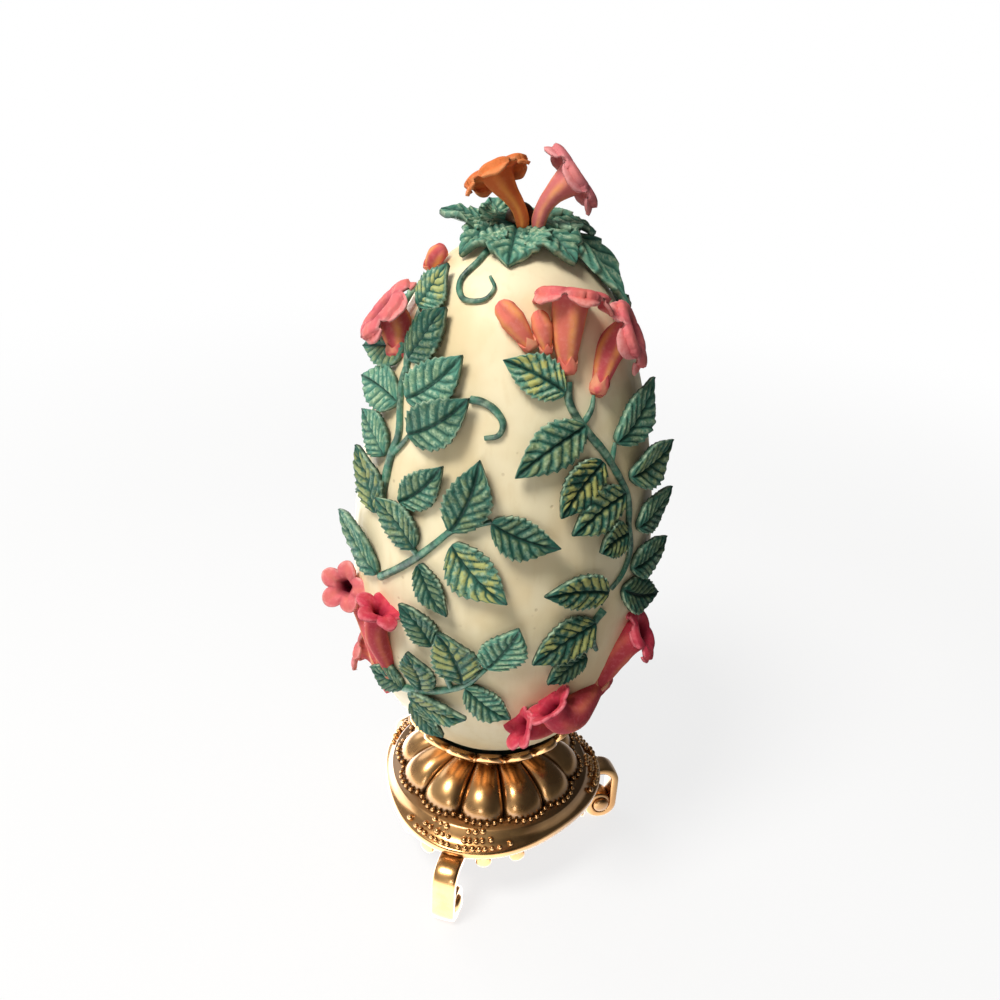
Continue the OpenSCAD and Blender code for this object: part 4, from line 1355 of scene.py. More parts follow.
@dataclass
class Bud:
    """A closed bud on the egg: base, tip, width and how far its tip stands off, in mm."""

    name: str
    node: str
    az: float
    up: float
    tip_az: float
    tip_up: float
    width: float
    stand: float = 2.2
    seed: int = 5

    def shape(self, draft: Draft) -> None:
        """Adds the bud to a draft."""
        start = EGG.point(self.az, self.up, 0.9 * MM)
        end = EGG.point(self.tip_az, self.tip_up, self.stand * MM)
        off = EGG.outward(self.az, self.up)
        bow = off * 0.5 * MM
        path = TubePath(start, start + (end - start) * 0.33 + bow,
                        start + (end - start) * 0.67 + bow, end, off)
        BLOOM_MODEL.bud(draft, path, self.width * MM / 2, self.seed)
        BLOOM_MODEL.calyx(draft, path, self.width * MM * 0.3, 0.24, 4)

    def build(self) -> None:
        """Builds the bud as one piece."""
        draft = Draft()
        self.shape(draft)
        obj = draft.to_object(self.name)
        settle_piece(obj, EGG_BODY, (self.node,), Petals.CORAL.value.material())


@dataclass
class Relief:
    """All vines, flowers and buds on the egg, front and back."""

    tree: VineTree

    def vines(self) -> list[Vine]:
        """Returns the sprays and tendrils."""
        left = Vine("left_vine", "left_spray", [
            [(-50, 56.5), (-50, 62), (-49, 67), (-47, 71), (-50, 75), (-53, 79), (-52, 83.5)],
            [(-49, 67), (-44, 69.5), (-41, 71.5)], [(-52, 83.5), (-58, 86.5), (-62, 89)],
            [(-51, 80), (-58, 83.5), (-66, 86)]], [
            Leaf(-62, 89, -52, 95, 8, tone=0.5, dab=0.7), Leaf(-51, 82, -36, 90.3, 8.4, tone=0.4, bend=-0.04),
            Leaf(-59, 83, -84, 79, 7.6, 3.6, tone=0.45, dab=0.35), Leaf(-51, 75.5, -80, 75, 8, 2.4, tone=0.6),
            Leaf(-46, 76.5, -21, 85, 8, tone=0.62), Leaf(-52, 66.5, -71, 71, 7.8, tone=0.55),
            Leaf(-41, 71.5, -15, 79.5, 8, 2.2, 0.3, tone=0.5, dab=0.1),
            Leaf(-51, 56.5, -67, 65.5, 8.4, 2.2, tone=0.45, dab=0.5)], seed=1)
        centre = Vine("centre_vine", "centre_spray", [
            [(-47, 45.5), (-38, 49), (-30, 52.5), (-23, 56), (-18, 58.5), (-13, 59.5), (-4, 61)],
            [(-30, 52.5), (-37, 56), (-40, 60.5)]], [
            Leaf(-31, 54, -49, 60, 8.2, tone=0.4, dab=0.25), Leaf(-40, 60.5, -22, 69, 6.4, tone=0.32),
            Leaf(-18, 58.5, -9, 71, 7.8, 2.2, tone=0.42, dab=0.2),
            Leaf(-4, 61, 19, 57.5, 7.2, 2.4, tone=0.45),
            Leaf(-17, 56.5, 3, 48, 8.8, tone=0.45, dab=0.8), Leaf(-29, 51.5, -16, 44.5, 5.8, tone=0.4),
            Leaf(-48, 46, -78, 51, 8.4, 2.4, tone=0.6)], seed=2)
        right = Vine("right_vine", "right_spray", [
            [(25, 82), (25, 79), (30, 75.5), (39, 71), (43, 68.5), (48, 65), (52, 61), (52, 56.5),
             (53, 52), (49, 48.5), (43, 46.5)],
            [(30, 75.5), (35, 77.5), (37, 79.5)], [(43, 68.5), (46, 71.5)]], [
            Leaf(23, 80.5, -4, 85, 7, 2.2, tone=0.6, dab=1.0), Leaf(31, 75.5, 3, 68.5, 8, tone=0.5, dab=0.3),
            Leaf(46, 71.5, 74, 78.5, 8.4, 2.4, tone=0.5),
            Leaf(53, 65, 82, 66.5, 8, 3.6, 0.25, tone=0.35, dab=0.3),
            Leaf(38, 69.5, 19, 62, 8, tone=0.2, dab=0.8), Leaf(49, 63, 23, 59, 8, tone=0.35, dab=0.5),
            Leaf(50, 56, 34, 55, 6.8, tone=0.12, dab=0.35), Leaf(57, 55.5, 80, 58.5, 7.4, 3, tone=0.3),
            Leaf(54, 48.5, 78, 49.5, 7.4, 2.2, tone=0.25), Leaf(49, 45.5, 72, 40, 6.8, 2, tone=0.22),
            Leaf(41, 46.5, 14, 49.5, 7, 2.4, 0.3, tone=0.4, dab=0.7)], seed=3)
        low_left = Vine("low_left_vine", "low_left_spray", [
            [(-39, 23.5), (-25, 26), (-11, 29.5), (-3, 34)], [(-16, 28.5), (-19, 33), (-22, 37)]], [
            Leaf(-22, 37, -34, 44, 6.8, tone=0.3), Leaf(-28, 26, -31, 35, 7.4, tone=0.25, dab=0.3),
            Leaf(-11, 30.5, -19, 41.5, 8.4, 2.2, tone=0.4, dab=0.6),
            Leaf(-3, 34.5, 7, 44, 7.8, 2.4, tone=0.6),
            Leaf(-38, 24, -53, 26, 7, tone=0.4), Leaf(-36, 23, -9, 23.5, 6.8, tone=0.45, dab=0.4),
            Leaf(-36, 21, -20, 16.5, 6.4, tone=0.4), Leaf(-10, 29.5, 7, 24.5, 6.8, tone=0.5)], seed=4)
        low_right = Vine("low_right_vine", "low_right_spray", [
            [(40, 43), (36, 41), (36, 38), (39, 35)]], [
            Leaf(36, 41.5, 12, 36.5, 8.4, tone=0.12, dab=0.6), Leaf(34, 35, 18, 32, 6.4, tone=0.3)], seed=5)
        thin = {"half": 0.55, "taper": 0.5}
        upper = Vine("upper_curl", "upper_tendril", [
            [(-38, 99), (-37.3, 97), (-40.5, 95.4), (-41.5, 94.3), (-38.6, 93.1), (-33, 92.2), (-27, 92.1),
             (-20, 92.5), (-16.5, 93.2), (-15, 94.3), (-20.4, 95.4)]], **thin)
        middle = Vine("middle_curl", "middle_tendril", [
            [(-16.2, 79.1), (-11.1, 79), (-5.6, 78), (-2.2, 76.2), (-3.7, 74.4), (-8.9, 73.8)]],
            half=0.7, taper=0.6)
        back = Vine("back_curl", "back_tendril", [
            [(178, 70), (184, 72), (190, 70.5), (189, 67.5), (183, 66)]], **thin)
        return [left, centre, right, low_left, low_right, upper, middle, back] + self.back_vines()

    def back_vines(self) -> list[Vine]:
        """Returns the sprays that climb the back."""
        paths = {
            "back_left": [(232, 46), (226, 54), (218, 61), (214, 69), (220, 77), (228, 83)],
            "back_right": [(118, 44), (126, 52), (136, 59), (142, 67), (138, 75), (130, 82)],
        }
        vines = []
        for number, (name, path) in enumerate(paths.items()):
            leaves = []
            for step, (az, up) in enumerate(path):
                tone = 0.35 + 0.08 * ((step * 3 + number) % 4)
                leaves.append(Leaf(az - 1, up, az - 25, up + 6, 7.6, bend=0, tone=tone,
                                   dab=0.2 * (step % 3)))
                leaves.append(Leaf(az + 1, up, az + 22, up + 1, 7.6, bend=0, tone=tone + 0.1,
                                   dab=0.3 * (step % 2)))
            vines.append(Vine(name + "_vine", name + "_spray", [path], leaves, seed=6 + number))
        low = [(108, 33), (124, 30), (142, 28.5), (160, 29.5), (178, 32), (196, 30.5), (214, 29)]
        leaves = []
        for step, (az, up) in enumerate(low):
            side = 1 if step % 2 == 0 else -1
            leaves.append(Leaf(az, up + side * 0.4, az + 6, up + side * 9, 7.6, bend=0,
                               tone=0.3 + 0.1 * (step % 3)))
        vines.append(Vine("back_low_vine", "back_low_spray", [low], leaves, seed=9))
        return vines

    def flowers(self) -> list[Flower]:
        """Returns the trumpet flowers."""
        rose, crimson = Petals.ROSE, Petals.CRIMSON
        return [
            Flower("left_bloom", "left_trumpet",
                   Bloom(-62, 81, -72, 86, 4.0, 3.0, 4.8, (-84, 40), rose, 150, 1.0), 11,
                   Bud("far_bud", "left_trumpet", -86, 93, -74, 96, 3.4)),
            Flower("upper_bloom", "upper_trumpet",
                   Bloom(25, 83, 27.5, 92, 4.0, 3.1, 4.8, (170, 68), curl=165, full=0.85), 12),
            Flower("right_bloom", "right_trumpet",
                   Bloom(38, 79.5, 57, 86.5, 3.8, 3.0, 4.6, (84, 26), rose, 160, 0.85), 13),
            Flower("crimson_bloom", "crimson_trumpet",
                   Bloom(-52, 22, -69, 38, 2.3, 2.3, 3.1, (-24, 18), rose, 88, 1.15), 14),
            Flower("small_bloom", "small_trumpet",
                   Bloom(-46, 24, -43, 40, 2.6, 2.1, 3.0, (70, 70), crimson, 100, 1.0), 15),
            Flower("rear_bloom", "rear_trumpet",
                   Bloom(-66, 14, -80, 21, 1.6, 2.2, 2.8, (-100, 10), rose), 16),
            Flower("low_right_bloom", "low_right_trumpet",
                   Bloom(46, 22, 60, 34.5, 2.4, 3.0, 2.8, (78, 30), crimson, 130, 1.15, -0.3), 17),
            Flower("low_open_bloom", "low_open_trumpet",
                   Bloom(58, 23, 21, 26.5, 3.4, 2.9, 2.6, (-94, 52), crimson, 62, 1.1, -0.3), 18,
                   Flower("under_bloom", "low_open_trumpet",
                          Bloom(42, 21, 13, 21.6, 2.2, 2.5, 2.8, (-66, 22), crimson, 70, 1.0, -0.2), 22)),
            Flower("back_high_bloom", "back_high_trumpet",
                   Bloom(176, 80, 176, 89, 3.8, 3.2, 4.2, (176, 55)), 19),
            Flower("back_mid_bloom", "back_mid_trumpet",
                   Bloom(180, 48, 180, 56, 0.9, 2.4, 2.5, (180, 66), rose), 20),
            Flower("back_low_bloom", "back_low_trumpet",
                   Bloom(248, 27, 236, 20, 2.6, 2.5, 3.2, (236, 0), crimson), 21),
        ]

    def buds(self) -> list[Bud]:
        """Returns the closed buds."""
        return [
            Bud("long_closed_bud", "long_bud", 9, 86.6, -9, 92.2, 4.4),
            Bud("short_closed_bud", "short_bud", 15.5, 86, 11.5, 91.4, 3.6),
            Bud("back_closed_bud", "back_bud", 186, 80, 198, 88, 4.4),
        ]

    def build(self) -> None:
        """Builds every piece of the relief."""
        for vine in self.vines():
            vine.build(self.tree)
        for flower in self.flowers():
            flower.build()
        for bud in self.buds():
            bud.build()


@dataclass
class Shell:
    """The egg's cream skin, and the plug under it."""

    def build(self) -> None:
        """Builds the skin and finishes the plug."""
        obj = new_object("egg_skin", bpy.data.meshes.new("egg_skin"))
        EggTree().run(obj, {"Material": CREAM.material()})
        turn_outwards(obj.data)
        settle_piece(obj, EGG_BODY, ("egg_shell",))
        dress_node("base_plug", RUBBER)


def dress_node(node: str, finish: Finish) -> None:
    """Gives a carried-over node its finish.

    Args:
        node: The node's name.
        finish: Its finish.
    """
    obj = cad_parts[node]
    obj.data.materials.clear()
    obj.data.materials.append(finish.material())
    LOG.info("%s: carried over, %s", node, finish.name)


@dataclass
class Crown:
    """The rosette of leaves, the cap and the two standing trumpets, in mm and degrees."""

    top: float = 138.4
    crown_z: float = 139.95
    root_r: float = 3.1
    collar_wave: float = 0.12
    curl: float = 156.0

    def leaves(self) -> list[tuple[float, float, float, float, Leaf]]:
        """Returns azimuth, tip radius, tip height over the egg's top, sag and looks of each leaf."""
        def looks(width: float, tone: float, fold: float = 0.1, dab: float = 0.1) -> Leaf:
            """Returns a crown leaf's looks."""
            return Leaf(0, 0, 0, 0, width, lift=0.0, fold=fold, bend=0.0, tone=tone + 0.34, dab=dab,
                        ruffle=0.6, teeth=0.75, tooth=0.26)

        return [
            (-96, 14.5, 2.6, -0.6, looks(10, 0.35, 0.2)), (-138, 9.5, 4, -0.5, looks(9.5, 0.35)),
            (-8, 11, -3, 1.2, looks(12, 0.45)), (46, 13, -2.6, 1.4, looks(11.5, 0.35)),
            (104, 13.5, -0.4, 1.2, looks(11, 0.3)), (-56, 11.5, -3, 1.2, looks(10, 0.3)),
            (85, 20.5, -13.5, 3.4, looks(9.5, 0.45)), (152, 12, -1.5, 1.2, looks(11.5, 0.4)),
            (188, 12.5, -2.5, 1.2, looks(11.5, 0.45)),
        ]

    def rosette(self) -> None:
        """Builds the leaves and the collar as one piece."""
        draft = Draft()
        for number, (az, tip_r, tip_up, sag, leaf) in enumerate(self.leaves()):
            ground = CrownGround(az, self.root_r * MM, (self.crown_z - 1.3) * MM, tip_r * MM,
                                 (self.top + tip_up - 0.65) * MM, sag * MM)
            LEAF_MODEL.build(draft, ground, leaf, 400 + number)
        theta = circle(60)
        profile = np.array([(5.3, -1.35), (5.5, -0.7), (5.2, -0.1), (4.0, 0.15), (2.6, 0.1)]) * MM
        rings = around_axis(profile[:, :1], theta, self.crown_z * MM + profile[:, 1:])
        rings[..., 2] += self.collar_wave * MM * np.sin(7 * theta)
        low = np.array([0, 0, (self.crown_z - 1.38) * MM])
        high = np.array([0, 0, self.crown_z * MM])
        draft.loft(rings, low, high, {"tone": 0.2})
        obj = draft.to_object("crown_leaves")
        settle_piece(obj, EGG_BODY, ("crown_rosette",), LEAF.material())

    def trumpet(self, name: str, node: str, slot: str, foot: tuple[float, float],
                mouth: tuple[float, float, float], turn: tuple[float, float, float],
                sizes: tuple[float, float], petals: Petals, seed: int) -> None:
        """Builds one standing trumpet.

        Args:
            name: Name of the piece.
            node: The node that it stands for.
            slot: Name of a material slot; not used.
            foot: Place of its foot in mm.
            mouth: Centre of its mouth in mm.
            turn: Direction in which its mouth faces.
            sizes: Mouth radius and lobe length in mm.
            petals: Its colour.
            seed: Number that sets its small irregularities.
        """
        start = np.array([foot[0], foot[1], self.crown_z + 0.1]) * MM
        end = np.array(mouth) * MM
        reach = np.linalg.norm(end - start)
        arrive = np.array(turn) / np.linalg.norm(turn)
        path = TubePath(start, start + np.array([0, 0, 0.4 * reach]), end - arrive * reach * 0.35, end,
                        np.array([0.0, -1.0, 0.2]))
        draft = Draft()
        BLOOM_MODEL.trumpet(draft, path, sizes[0] * MM, sizes[1] * MM, self.curl, seed, 0.36, 0.58)
        obj = draft.to_object(name)
        settle_piece(obj, EGG_BODY, (node,), petals.value.material())

    def build(self) -> None:
        """Builds the crown."""
        self.rosette()
        self.trumpet("orange_standing", "orange_trumpet", "orange_petal", (0.4, -4.0), (-4.2, -4.0, 148.6),
                     (-0.48, 0.36, 0.8), (2.7, 4.2), Petals.ORANGE, 31)
        self.trumpet("pink_standing", "pink_trumpet", "rose_petal", (3.0, -4.0), (8.2, -4.2, 148.8),
                     (0.76, 0.12, 0.6), (2.9, 4.6), Petals.PINK, 32)
        dress_node("crown_cap", BRONZE)


# The stand's pieces


@dataclass
class Dome:
    """The lobed dome, in mm and degrees."""

    lobes: int = 12
    turn: float = -3.0
    top_r: float = 6.9
    end_r: float = 20.0
    scallop: float = 2.6
    low_z: float = 19.75
    high: float = 7.45
    wall: float = 1.6

    def crest(self, across: Array) -> Array:
        """Returns 1 on a lobe's crest (across 0) and 0 in its valleys (across -1 and 1)."""
        return np.sqrt(np.clip(1 - across ** 2, 0, 1))

    def build(self, tree: RingTree) -> None:
        """Builds one lobe and repeats it round the axis.

        Args:
            tree: The tree that repeats it.
        """
        columns, rows = 25, 30
        across = np.sin(np.linspace(-np.pi / 2, np.pi / 2, columns))[None]
        az = np.radians(across * 180 / self.lobes + self.turn)
        crest = self.crest(across)
        s = np.sin(np.linspace(0, np.pi / 2, rows))[:, None]
        r = self.top_r + (self.end_r - self.scallop * (1 - crest) - self.top_r) * s
        full = self.high * np.clip(1 - s ** 2.5, 0, 1) ** 0.55
        z = self.low_z + full * (1 - (0.12 + 0.36 * s) * (1 - crest))
        valley_r, high_z = self.end_r - self.scallop, self.low_z + self.high
        under = [(valley_r - 1.2, self.low_z), (valley_r - self.wall * 2.2, self.low_z + self.high * 0.32),
                 (self.top_r + 3, high_z - self.wall * 1.6), (self.top_r, high_z - self.wall * 1.3)]
        r = np.concatenate([r] + [np.full_like(across, p[0]) for p in under])
        z = np.concatenate([z] + [np.full_like(across, p[1]) for p in under])
        grid = around_axis(r, az, z) * MM
        # Painted shade, partly antique darkening: dark in the grooves between lobes, along the lower edge and
        # all over the underside.
        groove = smooth(0.55, 0.08, crest) * np.ones((rows, 1))
        low_edge = smooth(0.93, 1.0, s) * 0.7
        hollow = np.concatenate([np.clip(groove + low_edge, 0, 1), np.ones((len(under), columns))])
        draft = Draft()
        draft.band(grid, True, False, {"hollow": hollow})
        obj = draft.to_object("lobed_dome", settle=False)
        tree.run(obj, {"Count": self.lobes, "Material": GOLD.material()})
        turn_outwards(obj.data)
        settle_piece(obj, STAND_BODY, ("gadroon_dome",))


@dataclass
class Cup:
    """The cup of rolled petals that the egg sits in, in mm."""

    petals: int = 16
    lip_r: float = 18.0
    notch: float = 2.6
    floor_z: float = 27.25
    neck_r: float = 7.3
    felt_to: float = 13.0
    depth: float = 1.35
    rise: float = 0.9
    roll: float = 0.95

    def dish(self, r: Array) -> Array:
        """Returns the height of the dish under the egg at a radius in mm."""
        up = np.linspace(0, 40, 400)
        skin = EGG.radius(up) / MM
        return np.interp(r, skin, EGG.base_z / MM + up * EGG.height / MM / 100) - self.depth

    def build(self, tree: RingTree) -> None:
        """Builds one petal and repeats it round the axis.

        Args:
            tree: The tree that repeats it.
        """
        columns = 21
        across = np.linspace(-1, 1, columns)[None]
        az = np.radians(across * 180 / self.petals)
        tip = np.sqrt(np.clip(np.cos(across * np.pi / 2), 0, 1))
        waist = self.lip_r - self.notch - 0.5
        reach = waist + (self.notch + 0.5) * tip
        # The third value of each row is painted shade, partly antique darkening: dark in the dish under the
        # egg, under the rolled lip, between the petals and down to the floor.
        inside = np.linspace(0.5, self.felt_to, 10)
        rim_z = float(self.dish(self.felt_to))
        rows = [(r, float(self.dish(r)), 0.6) for r in inside]
        for share in np.linspace(0.2, 1, 6):
            r = self.felt_to + (reach - 0.6 - self.felt_to) * share
            z = rim_z + (r - self.felt_to) * self.rise - 0.35 * (1 - tip) * share
            rows.append((r, z, 0.2 * (1 - share)))
        centre_r, centre_z = r + 0.2, z - self.roll
        for degrees in (55, 25, -5, -35, -65, -95, -125, -155):
            a = math.radians(degrees)
            rows.append((centre_r + self.roll * math.cos(a), centre_z + self.roll * math.sin(a),
                         0.0 if degrees > -80 else 0.7))
        rib = np.exp(-(across / 0.22) ** 2) * 0.35
        for share in (0.8, 0.6, 0.35, 0.1):
            r = self.felt_to + 0.8 + (reach - 1.4 - self.felt_to - 0.8) * share
            z = rim_z - 1.6 + (r - self.felt_to - 0.8) * 0.75 - rib
            rows.append((r, z, smooth(0.55, 1.0, np.abs(across))))
        # Painted shade: darker between the petals on the lower rows.
        dark = smooth(0.4, 1.0, np.abs(across)) * 0.8 + 0.2
        for r, drop in ((11.0, 1.9), (9.4, 2.1)):
            rows.append((r, max(float(self.dish(r)) - drop + 0.2, self.floor_z) - rib * 0.4, dark))
        rows += [(self.neck_r, self.floor_z, dark), (0.5, self.floor_z, 1.0)]
        r, z, hollow = (np.concatenate([np.broadcast_to(row[k], across.shape) for row in rows])
                        for k in range(3))
        grid = around_axis(r, az, z) * MM
        draft = Draft()
        draft.band(grid, True, False, {"hollow": np.clip(hollow, 0, 1)})
        obj = draft.to_object("rolled_petal_cup", settle=False)
        tree.run(obj, {"Count": self.petals, "Material": GOLD.material()})
        turn_outwards(obj.data)
        neck = Draft()
        theta = circle(48)
        profile = np.array([(5.6, 21.3), (6.0, 21.5), (6.0, 27.4)]) * MM
        rings = around_axis(profile[:, :1], theta, profile[:, 1:])
        # The neck is painted fully dark, as shade under the cup.
        neck.loft(rings, np.array([0, 0, 21.3 * MM]), np.array([0, 0, 27.5 * MM]), {"hollow": 1.0})
        spigot = neck.to_object("cup_spigot")
        spigot.data.materials.append(GOLD.material())
        join(obj, spigot)
        settle_piece(obj, STAND_BODY, ("petal_cup",))


@dataclass
class Skirt:
    """The rounded triangular skirt, its beads, filigree and drop tabs, in mm and degrees."""

    front_az: float = -15.0
    radius: float = 24.2
    swell: float = 1.4
    low_z: float = 14.8
    high: float = 4.9
    thick: float = 1.5
    flat_r: float = 21.5
    inner_r: float = 15.2
    bead: float = 0.5
    grain: float = 0.65
    dome: Dome = field(default_factory=Dome)

    def edge(self, az: Array) -> Array:
        """Returns the rim's radius in mm at an azimuth."""
        return self.radius + self.swell * np.cos(3 * np.radians(np.asarray(az, float) - self.front_az))

    def top(self, az: float, r: float) -> float:
        """Returns the height in mm of the skirt's upper face."""
        share = (r - self.flat_r) / (float(self.edge(az)) - self.flat_r)
        return self.low_z + self.high * float(np.interp(share, [0, 0.35, 0.7, 1], [1, 0.62, 0.4, 0.31]))

    def build(self, ring: RingTree, beads: BeadTree) -> None:
        """Builds the skirt and its trimmings.

        Args:
            ring: The tree that repeats the tabs.
            beads: The tree that sets the beads.
        """
        around = 180
        az = np.arange(around) * 360 / around
        edge = self.edge(az)
        profile = [(0, 1.0), (0.12, 0.93), (0.3, 0.68), (0.5, 0.52), (0.7, 0.42), (0.9, 0.37), (1.0, 0.33),
                   (1.03, 0.24), (1.0, 0.08), (0.96, 0.0), (0.6, 0.08), (0.1, 0.6)]
        dome_z = self.low_z + self.high
        r = [np.full(around, self.inner_r)] + [self.flat_r + (edge - self.flat_r) * s for s, _ in profile]
        z = [np.full(around, dome_z)] + [np.full(around, self.low_z + self.high * h) for _, h in profile]
        r.append(np.full(around, self.inner_r))
        z.append(np.full(around, dome_z - self.thick * 1.2))
        r, z = np.stack(r), np.stack(z)
        grid = around_axis(r, np.radians(az), z) * MM
        # Painted shade, partly antique darkening: darker next to the dome, at the rim's lower edge and all
        # over the underside.
        hollow = np.array([0.8, 0.6, 0.35, 0.1, 0.15, 0.1, 0, 0, 0, 0.4, 0.8, 1, 1, 1])[:, None]
        draft = Draft()
        draft.band(grid, True, True, {"hollow": hollow})
        obj = draft.to_object("skirt_plate")
        settle_piece(obj, STAND_BODY, ("skirt",), GOLD.material())
        self.bead_rows(beads)
        self.tabs(ring)

    def bead_rows(self, tree: BeadTree) -> None:
        """Builds the beads round the lobes and the filigree round the feet.

        Args:
            tree: The tree that sets the beads.
        """
        lobe_rows, per_lobe, spread = [], 7, 5 / 6
        for lobe in range(self.dome.lobes):
            for k in range(per_lobe):
                az = self.dome.turn + 360 / self.dome.lobes * (lobe + spread * (k / (per_lobe - 1) - 0.5))
                across = abs(((az - self.dome.turn) * self.dome.lobes / 360 + 0.5) % 1 - 0.5) * 2
                crest = float(self.dome.crest(across))
                r = self.dome.end_r - self.dome.scallop * (1 - crest) + self.bead + 0.15
                lobe_rows.append((az, r, self.dome.low_z + self.bead, 1.0))
        self.set_beads("lobe_bead_rows", "lobe_beads", lobe_rows, self.bead, tree)
        rows, dice = [], np.random.default_rng(31)
        for foot in range(3):
            home = self.front_az + 120 * foot
            for side in (-1, 1):
                spots = [(2.5 + 3.3 * k, 0.8) for k in range(7)] + [(4 + 3.5 * k, 2.1) for k in range(5)]
                spots += [(6 + 3.8 * k, 3.3) for k in range(3)] + [(28, 1.0)]
                for away, inset in spots:
                    az = home + side * (away + dice.uniform(-0.6, 0.6))
                    r = float(self.edge(az)) - inset
                    rows.append((az, r, self.top(az, r) + self.bead * 0.9, dice.uniform(0.78, 1.12)))
        self.set_beads("foot_filigree", "filigree", rows, self.grain, tree)

    @staticmethod
    def set_beads(name: str, node: str, rows: list[tuple[float, float, float, float]], size: float,
                  tree: BeadTree) -> None:
        """Builds one set of beads.

        Args:
            name: Name of the piece.
            node: The node that it stands for.
            rows: Azimuth, radius and height in mm, and share of the full size of each bead.
            size: The full size, a radius in mm.
            tree: The tree that sets them.
        """
        points = [(r * math.sin(math.radians(az)) * MM, -r * math.cos(math.radians(az)) * MM, z * MM)
                  for az, r, z, _ in rows]
        mesh = bpy.data.meshes.new(name)
        mesh.from_pydata(points, [], [])
        turn = np.array([(0, 0, math.radians(az)) for az, _, _, _ in rows])
        shares = [row[3] for row in rows]
        mesh.attributes.new("turn", "FLOAT_VECTOR", "POINT").data.foreach_set("vector", turn.ravel())
        mesh.attributes.new("share", "FLOAT", "POINT").data.foreach_set("value", shares)
        obj = new_object(name, mesh)
        tree.run(obj, {"Bead": size * MM, "Material": GOLD.material()})
        settle_piece(obj, STAND_BODY, (node,))

    def tabs(self, tree: RingTree) -> None:
        """Builds the four tabs beside one foot and repeats them for the others.

        Args:
            tree: The tree that repeats them.
        """
        draft = Draft()
        round_r, drop, neck, thick = 1.7, 3.6, 1.1, 0.65
        outline = []
        for degrees in range(-230, 51, 14):
            a = math.radians(degrees)
            outline.append((round_r * math.cos(a), -drop + round_r + round_r * math.sin(a)))
        outline += [(neck, -0.9), (neck * 1.25, -0.05), (-neck * 1.25, -0.05), (-neck, -0.9)]
        flat = np.array(outline)
        middle = flat.mean(0)
        for turn in (-33, -15, 15, 33):
            rings = []
            for scale, y in ((0.72, -thick), (0.93, -thick * 0.85), (1.0, -thick * 0.3), (1.0, thick * 0.3),
                             (0.93, thick * 0.85), (0.72, thick)):
                shrunk = middle + (flat - middle) * scale
                rings.append(np.stack([shrunk[:, 0], np.full(len(flat), y), shrunk[:, 1]], 1))
            body = np.stack(rings)
            az = self.front_az + turn
            shift = np.array([0, -(float(self.edge(az)) - 1.6), self.low_z + 0.3])
            ends = [np.array([middle[0], y, middle[1]]) + shift for y in (-thick * 1.05, thick * 1.05)]
            draft.loft(turned((body + shift) * MM, az), turned(ends[0] * MM, az), turned(ends[1] * MM, az),
                       {"hollow": 0.15})
        obj = draft.to_object("hanging_tabs")
        tree.run(obj, {"Count": 3, "Material": GOLD.material()})
        settle_piece(obj, STAND_BODY, ("drop_tabs",))


